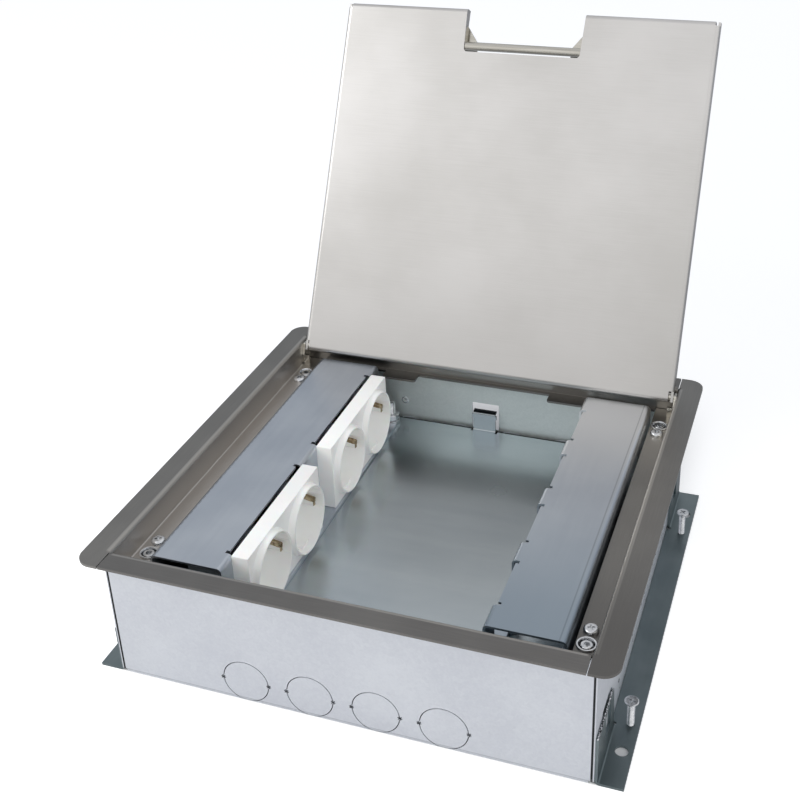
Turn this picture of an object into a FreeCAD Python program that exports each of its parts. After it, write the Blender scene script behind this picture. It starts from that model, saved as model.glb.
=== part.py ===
import FreeCAD, Part
import math
import os
from FreeCAD import Vector

# Floor socket box: a galvanised box cast or laid into the floor, a stainless frame with a
# ledge, a hinged stainless lid that takes the floor covering, two carriers that hold sockets
# and data modules, and levelling screws.  Millimetres; +X right, +Y towards the hinge, +Z up.
# The origin is the middle of the underside.

# ---- Box tray, folded from galvanised sheet ----
BOX_WIDTH = 260.0            # inside, along X
BOX_DEPTH = 251.0            # inside, along Y
BOX_HEIGHT = 79.0            # underside to the top of the walls
BOX_SHEET = 1.25
BOX_BEND = 1.0               # inside radius of its folds
CORNER_SEAM = 0.3            # open seam between two walls
CORNER_NOTCH = 0.5           # corner relief beyond the folds
KNOCKOUT_RADIUS = 13.2
KNOCKOUT_PITCH = 36.6
KNOCKOUT_COUNT = 4           # in each wall
KNOCKOUT_HEIGHT = 14.2       # centre above the underside
KNOCKOUT_GROOVE = 0.5
KNOCKOUT_TIE = 2.4           # width of the two bridges that hold a blank
CATCH_WINDOW_WIDTH = 18.8    # window in the rear wall for the floor plate's catch
CATCH_WINDOW_HEIGHT = 19.5
SIDE_WINDOW_WIDTH = 15.2     # windows in the side walls beside the bracket ears
SIDE_WINDOW_HEIGHT = 9.2
SIDE_WINDOW_BOTTOM = 22.5

# ---- Side brackets, with ears welded to the box ----
BRACKET_WIDTH = 14.5         # from the box's outer face, along X
BRACKET_INSET = 1.0          # shorter than the box at each end, along Y
BRACKET_SHEET = 1.5
BRACKET_BEND = 1.0
EAR_HEIGHT = 29.5
EAR_TOP_LENGTH = 35.7
EAR_FOOT_LENGTH = 39.7
EAR_WINDOW_WIDTH = 11.9
EAR_WINDOW_BOTTOM = 12.0
EAR_WINDOW_HEIGHT = 15.5
FIXING_HOLE_RADIUS = 3.5
FIXING_HOLE_EDGE = 5.65      # hole centre in from the bracket's outer edge
FIXING_HOLE_INSET = 23.45    # from the bracket's end
RELIEF_WIDTH = 2.0
RELIEF_DEPTH = 2.6

# ---- Levelling screws in the brackets ----
SCREW_RADIUS = 2.0
SCREW_HEAD_RADIUS = 3.75
SCREW_HEAD_HEIGHT = 2.2
SCREW_LENGTH = 17.0
SCREW_EDGE = 4.95            # screw centre in from the bracket's outer edge
SCREW_INSET = 42.75          # from the bracket's end
SCREW_PLAY = 0.05
CROSS_WIDTH = 1.1
CROSS_LENGTH = 4.0
CROSS_DEPTH = 1.5

# ---- Frame of four stainless strips ----
FRAME_SHEET = 1.5
FRAME_BEND = 0.5
FRAME_GAP = 0.5              # web to the box wall's inner face
SIDE_OVERHANG = 11.25        # flange beyond the box's outer face, left and right
END_OVERHANG = 10.25         # the same, front and rear
FRAME_CORNER = 9.0
STRIP_SEAM = 0.6             # gap between two strips' flanges
STRIP_END_GAP = 0.3          # end strips' ends to the side webs
LEDGE_DROP = 15.9            # frame's top to the ledge's top
LEDGE_WIDTH = 13.1
LEDGE_BEND = 1.0
LEDGE_END_GAP = 0.5
LIP_WIDTH = 3.0              # short fold at the foot of the end strips' webs
TONGUE_REACH = 11.0          # rear strip's two tongues, from the web's inner face
TONGUE_GAP = 2.0             # tongue's side to the line of the carrier's inner web
TONGUE_WIDTH = 23.5
TONGUE_ROUND = 1.5
TAB_HEIGHT = 5.0             # end strip's tab in a notch of the side web
TAB_DROP = 6.5               # frame's top to the tab's top
TAB_PLAY = 0.2

# ---- Floor plate over the cable space ----
FLOOR_SHEET = 1.25
FLOOR_BEND = 1.0
FLOOR_GAP = 2.0              # to the box walls
FLOOR_LEG_WIDTH = 24.0
FLOOR_LEG_INSET = 24.5       # leg's centre from the plate's end
FLOOR_STRIP = 8.0            # flat beside each fold
FLOOR_RELIEF = 1.5           # slot beside the catch
CATCH_WIDTH = 15.6
CATCH_HEIGHT = 14.4
CATCH_HEAD_WIDTH = 17.0
CATCH_HEAD_HEIGHT = 2.6
CATCH_HOOK = 2.6

# ---- Carriers, one at each side ----
CARRIER_GAP = 1.5            # outer web to the edge of the frame's ledge
CARRIER_WIDTH = 42.4
CARRIER_END_GAP = 14.0       # carrier's end to the box's wall
CARRIER_DROP = 8.2           # frame's top to the carriers' top
CARRIER_HEIGHT = 45.0        # above the floor plate
CARRIER_SHEET = 1.25
CARRIER_BEND = 1.5
CARRIER_OUTER_BEND = 2.0
CARRIER_FOOT = 11.2          # foot towards the middle
CARRIER_HIDDEN_FOOT = 12.0   # foot inside the channel
DATA_CUTOUT_WIDTH = 36.0
DATA_PITCH = 51.6
DATA_CUTOUT_SILL = 5.0       # above the foot
CUTOUT_NOTCH = 2.2
CUTOUT_NOTCH_DEPTH = 1.8

# ---- Socket modules: two double sockets in the left carrier ----
MODULE_WIDTH = 90.0
MODULE_GAP_SHARE = 0.456     # gap between the modules, as a share of the carrier's spare length
MODULE_SEAT = 0.25           # above the carrier's foot
BEND_CLEARANCE = 0.15        # parts kept clear of a fold's inside
BLOCK_DEPTH = 9.6
BLOCK_ROUND = 1.0
COLLAR_DEPTH = 3.8
COLLAR_MARGIN = 0.05         # collar's edge inside the block's
COLLAR_TAPER = 0.8           # bevel round the collar's rim
WELL_PITCH = 45.0
WELL_RADIUS = 19.5
WELL_DEPTH = 17.5
WELL_WALL = 0.9
WELL_FLOOR = 1.5
PIN_HOLE_RADIUS = 2.6
PIN_PITCH = 19.0
CUTOUT_MARGIN = 0.45         # carrier cut-out round the well cups
HOUSING_DEPTH = 24.0
HOUSING_WALL = 1.0
HOUSING_MARGIN = 0.8         # housing inside the rear plate's outline
MOUTH_RADIUS = 4.0           # cable mouth in each end of a housing
REAR_PLATE_MARGIN = 0.2
LATCH_WIDTH = 5.0
LATCH_OFFSET = 12.0          # above and below the wells' centre line
LATCH_HOOK = 1.6
LATCH_ROOT = 2.0
LATCH_PLAY = 0.25

# ---- Contact parts inside the socket modules ----
STRAP_WIDTH = 8.0
STRAP_SHEET = 0.8
STRAP_INSET = 1.6            # clip's outer face inside the well's wall
STRAP_TIP = 3.0              # clip's end below the collar's rim
STRAP_PLAY = 0.2
CLIP_LEAD = 1.0              # clip's tip in from its root line
CLIP_NOSE = 3.0              # tip to the clip's tightest point
CLIP_BULGE = 2.2             # tightest point in from the root line
CLIP_ROOT = 1.5              # where the clip leaves the well's floor
CLIP_NOSE_BEND = 1.0
CLIP_SWEEP = 3.0
CLIP_FOLD = 0.6
BAR_HEIGHT = 5.0
BAR_SHEET = 1.0
BAR_PLAY = 0.15              # bar's ends to the housing's end walls
BAR_OFFSET = 7.5             # bar's centre above or below the pin line
SLEEVE_INNER = 2.45
SLEEVE_WALL = 0.6
SLEEVE_LENGTH = 9.0
SLEEVE_SLIT = 0.8
SLEEVE_GAP = 1.2             # behind the strap
TERMINAL_HEAD_RADIUS = 2.4
TERMINAL_HEAD_HEIGHT = 2.0
TERMINAL_SLOT = 0.7

# ---- Fasteners on the ledge and the floor ----
INSERT_INSET = 7.5           # centre to the side web
INSERT_END = 23.5            # centre to the box's end wall
INSERT_FLANGE_RADIUS = 5.2
INSERT_FLANGE_HEIGHT = 1.0
INSERT_RADIUS = 3.9
INSERT_LENGTH = 9.0
SPINDLE_RADIUS = 3.0
SPINDLE_RECESS = 0.4         # spindle's top below the insert's
SPINDLE_HEX = 3.2            # across flats
SPINDLE_HEX_DEPTH = 3.5
THREAD_PLAY = 0.05
CLAMP_PITCH = 10.2           # clamp screw to insert, along Y
CLAMP_RADIUS = 2.0
CLAMP_HEAD_RADIUS = 4.0
CLAMP_HEAD_HEIGHT = 2.6
CLAMP_LENGTH = 7.5
HOLE_PLAY = 0.2
SUPPORT_SHEET = 1.5
SUPPORT_DROP = 18.0
SUPPORT_WIDTH = 22.0
SUPPORT_REACH = 14.5
HEAD_CROWN = 0.75            # flat of a pan head, as a share of its rim
CARRIER_SCREW_RADIUS = 1.5
CARRIER_SCREW_HEAD_RADIUS = 2.8
CARRIER_SCREW_HEAD_HEIGHT = 1.8
CARRIER_SCREW_LENGTH = 4.5
CARRIER_SCREW_INSET = 13.5   # outer screws from the carrier's end
STUD_RADIUS = 3.0
STUD_HEIGHT = 15.0
STUD_INSET = 5.5             # stud's centre to the line of the left carrier's inner web
STUD_REAR_GAP = 8.2          # stud centre in from the box's rear wall
NUT_FLATS = 10.0
NUT_HEIGHT = 5.0
WASHER_RADIUS = 5.3
WASHER_SHEET = 1.2

# ---- Lid, a shallow tray for the floor covering ----
LID_SHEET = 1.5
LID_BEND = 1.5
LID_SIDE_GAP = 2.0           # to the side webs
LID_REAR_GAP = 1.5           # to the rear web
LID_FRONT_GAP = 4.5          # to the front web
LID_REST_GAP = 0.3           # above the carriers, closed
LID_RIM_DROP = 0.2           # rim below the frame's top
LID_RELIEF = 1.0             # fold cut back from the hinge pin's head
LID_EDGE_STEP = 0.2          # side flanges' ends inside the front and rear faces
LID_OPEN_ANGLE = 118.0
NOTCH_HALF_WIDTH = 40.3      # cable notch at the free edge
NOTCH_TAPER = 1.0
NOTCH_DEPTH = 29.0
NOTCH_ROUND = 2.5
NOTCH_FLANGE = 10.6
GRIP_RADIUS = 2.8
GRIP_EDGE = 24.6             # bar's centre from the free edge
GRIP_PLAY = 0.05             # bar below its ears and inside the notch
GRIP_EAR_REACH = 8.3         # gusset's tip from the side of the notch
GRIP_EAR_GAP = 0.1           # ear to the notch's flange

# ---- Hinge ----
PIVOT_FROM_REAR = 3.5        # pivot from the lid's rear face
PIVOT_FROM_RIM = 3.3         # pivot below the lid's rim
HINGE_PIN_RADIUS = 1.5
HINGE_PIN_HEAD = 2.5
HINGE_PIN_HEAD_SHEET = 1.4
HINGE_FIT = 0.05
PIN_SEAT = 0.02
LUG_SHEET = 1.5
LUG_GAP = 0.4                # lid to lug
LUG_DEPTH = 9.8
LUG_TOP_RADIUS = 2.0
LUG_STIFFENER = 5.0
LUG_STIFFENER_DROP = 5.2     # below the pivot

# ---- Places worked out from the sizes above ----
box_in_x = BOX_WIDTH / 2
box_in_y = BOX_DEPTH / 2
box_out_x = box_in_x + BOX_SHEET
box_out_y = box_in_y + BOX_SHEET
frame_top = BOX_HEIGHT + FRAME_SHEET
web_out_x = box_in_x - FRAME_GAP
web_out_y = box_in_y - FRAME_GAP
web_in_x = web_out_x - FRAME_SHEET
web_in_y = web_out_y - FRAME_SHEET
flange_x = box_out_x + SIDE_OVERHANG
flange_y = box_out_y + END_OVERHANG
ledge_top = frame_top - LEDGE_DROP
ledge_under = ledge_top - FRAME_SHEET
ledge_edge = web_in_x - LEDGE_WIDTH
bracket_edge = box_out_x + BRACKET_WIDTH
bracket_end = box_out_y - BRACKET_INSET
hole_x = bracket_edge - FIXING_HOLE_EDGE
screw_x = bracket_edge - SCREW_EDGE
hole_y = bracket_end - FIXING_HOLE_INSET
screw_y = bracket_end - SCREW_INSET
carrier_top = frame_top - CARRIER_DROP
floor_top = carrier_top - CARRIER_HEIGHT
floor_under = floor_top - FLOOR_SHEET
floor_x = box_in_x - FLOOR_GAP
floor_y = box_in_y - FLOOR_GAP
carrier_half = box_in_y - CARRIER_END_GAP
carrier_outer = ledge_edge - CARRIER_GAP
carrier_inner = carrier_outer - CARRIER_WIDTH
foot_top = floor_top + CARRIER_SHEET
block_bottom = foot_top + MODULE_SEAT
block_front = carrier_inner - BLOCK_DEPTH
rim_x = block_front - COLLAR_DEPTH
well_z = (block_bottom + carrier_top) / 2
collar_radius = (carrier_top - block_bottom) / 2 - COLLAR_MARGIN
cup_radius = WELL_RADIUS + WELL_WALL
well_floor = rim_x + WELL_DEPTH
cup_rear = well_floor + WELL_FLOOR
module_gap = (2 * carrier_half - 2 * MODULE_WIDTH) * MODULE_GAP_SHARE
module_y = (MODULE_WIDTH + module_gap) / 2
cutout_half = WELL_PITCH / 2 + cup_radius + CUTOUT_MARGIN
lid_x = web_in_x - LID_SIDE_GAP
lid_rear = web_in_y - LID_REAR_GAP
lid_front = -web_in_y + LID_FRONT_GAP
lid_under = carrier_top + LID_REST_GAP
lid_rim = frame_top - LID_RIM_DROP
pivot = Vector(0, lid_rear - PIVOT_FROM_REAR, lid_rim - PIVOT_FROM_RIM)
lug_x = lid_x + LUG_GAP
support_under = ledge_under - SUPPORT_SHEET
insert_x = web_in_x - INSERT_INSET
insert_y = box_in_y - INSERT_END
clamp_y = insert_y - CLAMP_PITCH
tongue_outer = carrier_inner - TONGUE_GAP
stud = Vector(STUD_INSET - carrier_inner, box_in_y - STUD_REAR_GAP, floor_top)

TINY = 0.01                  # keeps a cut clear of a shared face

X = Vector(1, 0, 0)
Y = Vector(0, 1, 0)
Z = Vector(0, 0, 1)


# ---- Shared shapes ----
def along_y(u, v):
    """A section point in the XZ plane, for a shape that runs along Y."""
    return Vector(u, 0, v)


def along_x(u, v):
    """A section point in the YZ plane, for a shape that runs along X."""
    return Vector(0, u, v)


def flat(u, v):
    """A section point in the XY plane, for a shape that rises along Z."""
    return Vector(u, v, 0)


def outline(points, radii):
    """A closed face whose corners have the given radii (0 is a sharp corner)."""
    count = len(points)
    starts = []
    ends = []
    arcs = []
    for i in range(count):
        corner = points[i]
        back = (points[i - 1] - corner).normalize()
        ahead = (points[(i + 1) % count] - corner).normalize()
        half = back.getAngle(ahead) / 2
        reach = radii[i] / math.tan(half)
        starts.append(corner + back * reach)
        ends.append(corner + ahead * reach)
        if radii[i] > 0:
            middle = (back + ahead).normalize()
            centre = corner + middle * (radii[i] / math.sin(half))
            arcs.append(Part.Arc(starts[i], centre - middle * radii[i], ends[i]).toShape())
        else:
            arcs.append(None)
    edges = []
    for i in range(count):
        if arcs[i] is not None:
            edges.append(arcs[i])
        following = starts[(i + 1) % count]
        if (following - ends[i]).Length > 1e-6:
            edges.append(Part.makeLine(ends[i], following))
    return Part.Face(Part.Wire(edges))


def bar(face, direction, low, high):
    """A face drawn at zero, extruded along a unit direction from low to high."""
    solid = face.extrude(direction * (high - low))
    solid.translate(direction * low)
    return solid


def folded(path, sheet, bends, side, place, direction, low, high):
    """Sheet folded along a path of one skin; side is +1 where the metal is to its left."""
    count = len(path)
    normals = []
    for i in range(count - 1):
        du = path[i + 1][0] - path[i][0]
        dv = path[i + 1][1] - path[i][1]
        length = math.hypot(du, dv)
        normals.append((-dv / length * side, du / length * side))
    skin = []
    other = []
    skin_radii = []
    other_radii = []
    for i in range(count):
        before = normals[max(i - 1, 0)]
        after = normals[min(i, count - 2)]
        share = 1 + before[0] * after[0] + before[1] * after[1]
        shift_u = (before[0] + after[0]) / share * sheet
        shift_v = (before[1] + after[1]) / share * sheet
        skin.append(place(path[i][0], path[i][1]))
        other.append(place(path[i][0] + shift_u, path[i][1] + shift_v))
        if i == 0 or i == count - 1:
            skin_radii.append(0)
            other_radii.append(0)
            continue
        turn = before[0] * after[1] - before[1] * after[0]
        if turn * side > 0:
            skin_radii.append(bends[i - 1] + sheet)
            other_radii.append(bends[i - 1])
        else:
            skin_radii.append(bends[i - 1])
            other_radii.append(bends[i - 1] + sheet)
    face = outline(skin + other[::-1], skin_radii + other_radii[::-1])
    return bar(face, direction, low, high)


def block(x0, x1, y0, y1, z0, z1):
    """A box between two corners."""
    return Part.makeBox(x1 - x0, y1 - y0, z1 - z0, Vector(x0, y0, z0))


def rod(radius, start, direction, length):
    """A plain cylinder."""
    return Part.makeCylinder(radius, length, start, direction)


def hexagon(flats, base, height):
    """A hexagonal prism standing on a point."""
    radius = flats / 2 / math.cos(math.pi / 6)
    corners = []
    for i in range(6):
        angle = math.pi / 3 * i
        corners.append(flat(radius * math.cos(angle), radius * math.sin(angle)))
    prism = bar(outline(corners, [0] * 6), Z, 0, height)
    prism.translate(base)
    return prism


def join(shapes):
    """One solid from overlapping or touching shapes."""
    return shapes[0].fuse(shapes[1:]).removeSplitter()


def mirrored(shape, normal):
    """The same piece on the other side of the middle plane."""
    return shape.mirror(Vector(0, 0, 0), normal)


def four_corners(shape):
    """Copies of a piece at the four corners, mirrored about both middle planes."""
    pair = [shape, mirrored(shape, X)]
    return pair + [mirrored(item, Y) for item in pair]


def save(name, shapes):
    """Writes one node: a solid, or a group of separate solids."""
    shape = shapes[0] if len(shapes) == 1 else Part.makeCompound(shapes)
    shape.exportStep("parts/" + name + ".step")


# ---- Box tray ----
def knockout_grooves(centres, height, wall_face, place, direction):
    """Ring grooves that leave each blank held by a bridge on its left and right."""
    rings = []
    for centre in centres:
        start = place(centre, height) + direction * (wall_face - BOX_SHEET)
        ring = rod(KNOCKOUT_RADIUS, start, direction, 2 * BOX_SHEET)
        ring = ring.cut(rod(KNOCKOUT_RADIUS - KNOCKOUT_GROOVE, start, direction, 2 * BOX_SHEET))
        half = KNOCKOUT_TIE / 2
        wide = KNOCKOUT_RADIUS + 1
        band = [place(centre - wide, height - half), place(centre + wide, height - half),
                place(centre + wide, height + half), place(centre - wide, height + half)]
        bridge = bar(outline(band, [0] * 4), direction,
                     wall_face - 2 * BOX_SHEET, wall_face + 2 * BOX_SHEET)
        rings.append(ring.cut(bridge))
    return rings


def make_box_tray():
    outer_bend = BOX_BEND + BOX_SHEET
    notch = outer_bend + CORNER_NOTCH
    strip = 4 * outer_bend
    pieces = [block(-box_out_x + outer_bend, box_out_x - outer_bend,
                    -box_out_y + outer_bend, box_out_y - outer_bend, 0, BOX_SHEET)]
    for sign in (-1, 1):
        side_path = [(sign * (box_out_x - strip), 0), (sign * box_out_x, 0), (sign * box_out_x, BOX_HEIGHT)]
        pieces.append(folded(side_path, BOX_SHEET, [BOX_BEND], sign, along_y, Y,
                             -box_out_y + notch, box_out_y - notch))
        end_path = [(sign * (box_out_y - strip), 0), (sign * box_out_y, 0), (sign * box_out_y, BOX_HEIGHT)]
        pieces.append(folded(end_path, BOX_SHEET, [BOX_BEND], sign, along_x, X,
                             -box_out_x + notch, box_out_x - notch))
        low, high = sorted((sign * box_in_x, sign * box_out_x))
        pieces.append(block(low, high, -box_out_y, box_out_y, notch, BOX_HEIGHT))
        low, high = sorted((sign * box_in_y, sign * box_out_y))
        seam_x = box_in_x - CORNER_SEAM
        pieces.append(block(-seam_x, seam_x, low, high, notch, BOX_HEIGHT))
    tray = join(pieces)
    centres = []
    for i in range(KNOCKOUT_COUNT):
        centres.append((i - (KNOCKOUT_COUNT - 1) / 2) * KNOCKOUT_PITCH)
    cuts = []
    for sign in (-1, 1):
        cuts += knockout_grooves(centres, KNOCKOUT_HEIGHT, sign * (box_in_y + BOX_SHEET / 2), along_y, Y)
        cuts += knockout_grooves(centres, KNOCKOUT_HEIGHT, sign * (box_in_x + BOX_SHEET / 2), along_x, X)
        low, high = sorted((sign * box_in_x, sign * box_out_x))
        for end in (-1, 1):
            window_y = end * hole_y
            cuts.append(block(low - 1, high + 1,
                              window_y - SIDE_WINDOW_WIDTH / 2, window_y + SIDE_WINDOW_WIDTH / 2,
                              SIDE_WINDOW_BOTTOM, SIDE_WINDOW_BOTTOM + SIDE_WINDOW_HEIGHT))
    half = CATCH_WINDOW_WIDTH / 2
    cuts.append(block(-half, half, box_in_y - 1, box_out_y + 1,
                      floor_top, floor_top + CATCH_WINDOW_HEIGHT))
    return tray.cut(cuts)


# ---- Side brackets ----
def make_side_bracket():
    edge = box_out_x
    flange = block(edge, bracket_edge, -bracket_end, bracket_end, 0, BRACKET_SHEET)
    pieces = [flange.cut(block(edge - 1, edge + RELIEF_DEPTH, -bracket_end - 1, bracket_end + 1,
                               -1, BRACKET_SHEET + 1))]
    middle = bracket_end - EAR_FOOT_LENGTH - RELIEF_WIDTH
    pieces.append(block(edge, edge + RELIEF_DEPTH, -middle, middle, 0, BRACKET_SHEET))
    path = [(edge + 2 * RELIEF_DEPTH, 0), (edge, 0), (edge, EAR_HEIGHT)]
    for sign in (-1, 1):
        ends = sorted((sign * (bracket_end - EAR_FOOT_LENGTH), sign * bracket_end))
        ear = folded(path, BRACKET_SHEET, [BRACKET_BEND], -1, along_y, Y, ends[0], ends[1])
        slope = [along_x(sign * (bracket_end - EAR_FOOT_LENGTH), BRACKET_SHEET + BRACKET_BEND),
                 along_x(sign * (bracket_end - EAR_TOP_LENGTH), EAR_HEIGHT + 1),
                 along_x(sign * (bracket_end - EAR_FOOT_LENGTH - 1), EAR_HEIGHT + 1),
                 along_x(sign * (bracket_end - EAR_FOOT_LENGTH - 1), BRACKET_SHEET + BRACKET_BEND)]
        ear = ear.cut(bar(outline(slope, [0] * 4), X, edge - 1, bracket_edge))
        window_y = sign * hole_y
        ear = ear.cut(block(edge - 1, edge + BRACKET_SHEET + 1,
                            window_y - EAR_WINDOW_WIDTH / 2, window_y + EAR_WINDOW_WIDTH / 2,
                            EAR_WINDOW_BOTTOM, EAR_WINDOW_BOTTOM + EAR_WINDOW_HEIGHT))
        pieces.append(ear)
    bracket = join(pieces)
    holes = []
    for sign in (-1, 1):
        holes.append(rod(FIXING_HOLE_RADIUS, Vector(hole_x, sign * hole_y, -1), Z, BRACKET_SHEET + 2))
        holes.append(rod(SCREW_RADIUS + SCREW_PLAY, Vector(screw_x, sign * screw_y, -1), Z,
                         BRACKET_SHEET + 2))
    return bracket.cut(holes)


def cross_recess(top, width, length, depth):
    """The two crossed slots of a cross-head screw, cut down from the head's top."""
    centre = top - Z * depth
    slots = []
    for first, second in ((width, length), (length, width)):
        slots.append(block(centre.x - first / 2, centre.x + first / 2,
                           centre.y - second / 2, centre.y + second / 2, centre.z, top.z + 1))
    return slots


def make_levelling_screw(x, y):
    neck = SCREW_LENGTH - SCREW_HEAD_HEIGHT
    shank = rod(SCREW_RADIUS, Vector(x, y, 0), Z, neck)
    head = Part.makeCone(SCREW_RADIUS, SCREW_HEAD_RADIUS, SCREW_HEAD_HEIGHT, Vector(x, y, neck), Z)
    screw = join([shank, head])
    return screw.cut(cross_recess(Vector(x, y, SCREW_LENGTH), CROSS_WIDTH, CROSS_LENGTH, CROSS_DEPTH))


# ---- Frame strips ----
def make_side_strip():
    """Right strip: flange, web and ledge, with the frame's two rounded corners."""
    path = [(flange_x, frame_top), (web_in_x, frame_top), (web_in_x, ledge_top), (ledge_edge, ledge_top)]
    ledge_end = web_in_y - LEDGE_END_GAP
    strip = folded(path, FRAME_SHEET, [FRAME_BEND, LEDGE_BEND], 1, along_y, Y, -ledge_end, ledge_end)
    web_foot = ledge_top + LEDGE_BEND
    short = [(flange_x, frame_top), (web_in_x, frame_top), (web_in_x, web_foot)]
    pieces = [strip]
    for sign in (-1, 1):
        low, high = sorted((sign * ledge_end, sign * web_out_y))
        pieces.append(folded(short, FRAME_SHEET, [FRAME_BEND], 1, along_y, Y, low, high))
        inner = web_in_x - STRIP_END_GAP + STRIP_SEAM
        corner = [flat(inner, sign * web_out_y), flat(flange_x, sign * web_out_y),
                  flat(flange_x, sign * flange_y), flat(inner, sign * flange_y)]
        pieces.append(bar(outline(corner, [0, 0, FRAME_CORNER, 0]), Z, BOX_HEIGHT, frame_top))
    strip = join(pieces)
    cuts = []
    tab_top = frame_top - TAB_DROP
    for sign in (-1, 1):
        low, high = sorted((sign * (web_in_y - TAB_PLAY), sign * (web_out_y + 1)))
        cuts.append(block(web_in_x - 1, web_out_x + FRAME_GAP / 2, low, high,
                          tab_top - TAB_HEIGHT - TAB_PLAY, tab_top + TAB_PLAY))
        cuts.append(rod(INSERT_RADIUS + HOLE_PLAY, Vector(insert_x, sign * insert_y, ledge_under - 1), Z,
                        FRAME_SHEET + 2))
        cuts.append(rod(CLAMP_RADIUS + HOLE_PLAY, Vector(insert_x, sign * clamp_y, ledge_under - 1), Z,
                        FRAME_SHEET + 2))
    return strip.cut(cuts)


def make_end_strip(with_tongues):
    """Rear strip: flange, web, end tabs and a short lip; the front strip is its mirror image."""
    strip_end = web_in_x - STRIP_END_GAP
    path = [(flange_y, frame_top), (web_in_y, frame_top), (web_in_y, ledge_under)]
    strip = folded(path, FRAME_SHEET, [FRAME_BEND], 1, along_x, X, -strip_end, strip_end)
    lip_half = ledge_edge - STRIP_SEAM
    lip = block(-lip_half, lip_half, web_in_y - LIP_WIDTH, web_in_y + FRAME_SHEET / 2,
                ledge_under, ledge_top)
    pieces = [strip, lip]
    tab_top = frame_top - TAB_DROP
    for sign in (-1, 1):
        low, high = sorted((sign * (strip_end - 1), sign * web_out_x))
        pieces.append(block(low, high, web_in_y, web_out_y, tab_top - TAB_HEIGHT, tab_top))
        if with_tongues:
            low, high = sorted((sign * tongue_outer, sign * (tongue_outer - TONGUE_WIDTH)))
            tongue = [flat(low, web_in_y), flat(low, web_in_y - TONGUE_REACH),
                      flat(high, web_in_y - TONGUE_REACH), flat(high, web_in_y)]
            tongue_face = outline(tongue, [0, TONGUE_ROUND, TONGUE_ROUND, 0])
            pieces.append(bar(tongue_face, Z, ledge_under, ledge_top))
    return join(pieces)


# ---- Floor plate ----
def make_floor_plate():
    plate = block(-floor_x + FLOOR_BEND, floor_x - FLOOR_BEND, -floor_y, floor_y, floor_under, floor_top)
    pieces = [plate]
    for sign in (-1, 1):
        leg = [(sign * (floor_x - FLOOR_STRIP), floor_top), (sign * floor_x, floor_top),
               (sign * floor_x, BOX_SHEET)]
        for end in (-1, 1):
            low = end * (floor_y - FLOOR_LEG_INSET) - FLOOR_LEG_WIDTH / 2
            pieces.append(folded(leg, FLOOR_SHEET, [FLOOR_BEND], -sign, along_y, Y,
                                 low, low + FLOOR_LEG_WIDTH))
    catch_top = floor_top + CATCH_HEIGHT
    inner = floor_y - FLOOR_SHEET
    catch = [(inner - FLOOR_STRIP, floor_top), (inner, floor_top), (inner, catch_top),
             (floor_y + CATCH_HOOK, catch_top)]
    bends = [FLOOR_BEND, FLOOR_BEND]
    pieces.append(folded(catch, FLOOR_SHEET, bends, -1, along_x, X, -CATCH_WIDTH / 2, CATCH_WIDTH / 2))
    relief = FLOOR_SHEET + FLOOR_BEND
    head_top = catch_top - relief
    pieces.append(block(-CATCH_HEAD_WIDTH / 2, CATCH_HEAD_WIDTH / 2, inner, floor_y,
                        head_top - CATCH_HEAD_HEIGHT, head_top))
    plate = join(pieces)
    cuts = []
    for sign in (-1, 1):
        low, high = sorted((sign * CATCH_WIDTH / 2, sign * (CATCH_WIDTH / 2 + FLOOR_RELIEF)))
        cuts.append(block(low, high, floor_y - relief - 1, floor_y + 1, floor_under - 1, floor_top + TINY))
        for end in (-1, 1):
            for step in range(2):
                under = carrier_screw_point(sign, end, step) - Z * (CARRIER_SHEET + FLOOR_SHEET + 1)
                cuts.append(rod(CARRIER_SCREW_RADIUS + THREAD_PLAY, under, Z, FLOOR_SHEET + 2))
    cuts.append(rod(STUD_RADIUS + THREAD_PLAY, stud - Z * (FLOOR_SHEET + 1), Z, FLOOR_SHEET + 2))
    return plate.cut(cuts)


# ---- Carriers ----
def carrier_screw_point(sign, end, step):
    """A fixing screw's centre on top of a carrier's hidden foot."""
    reach = (carrier_half - CARRIER_SCREW_INSET) * (1 - step * 2 / 3)
    foot_middle = carrier_outer - (CARRIER_SHEET + CARRIER_OUTER_BEND + CARRIER_HIDDEN_FOOT) / 2
    return Vector(sign * foot_middle, end * reach, foot_top)


def make_carrier(cutouts, sill):
    """Right carrier: an inverted channel on two feet, with module cut-outs in its inner web."""
    path = [(carrier_inner - CARRIER_FOOT, foot_top), (carrier_inner, foot_top),
            (carrier_inner, carrier_top), (carrier_outer, carrier_top),
            (carrier_outer, floor_top), (carrier_outer - CARRIER_HIDDEN_FOOT, floor_top)]
    bends = [CARRIER_BEND, CARRIER_BEND, CARRIER_OUTER_BEND, CARRIER_BEND]
    carrier = folded(path, CARRIER_SHEET, bends, -1, along_y, Y, -carrier_half, carrier_half)
    fold = carrier_inner + CARRIER_SHEET + CARRIER_BEND
    cuts = []
    for low, high in cutouts:
        cuts.append(block(carrier_inner - 1, fold, low, high, sill, carrier_top + 1))
        for notch in (low, high - CUTOUT_NOTCH):
            cuts.append(block(fold - 0.5, fold + CUTOUT_NOTCH_DEPTH, notch, notch + CUTOUT_NOTCH,
                              carrier_top - 2 * CARRIER_SHEET, carrier_top + 1))
    for end in (-1, 1):
        for step in range(2):
            under = carrier_screw_point(1, end, step) - Z * (CARRIER_SHEET + 1)
            cuts.append(rod(CARRIER_SCREW_RADIUS + HOLE_PLAY, under, Z, CARRIER_SHEET + 2))
    return carrier.cut(cuts)


def pan_screw(top, radius, head_radius, head_height, length):
    """A screw whose tapered head stands on the given point."""
    shank = rod(radius, top - Z * length, Z, length + head_height / 2)
    head = Part.makeCone(head_radius, head_radius * HEAD_CROWN, head_height, top, Z)
    return join([shank, head])


# ---- Socket modules ----
def well_centres(middle):
    return [middle - WELL_PITCH / 2, middle + WELL_PITCH / 2]


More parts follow.
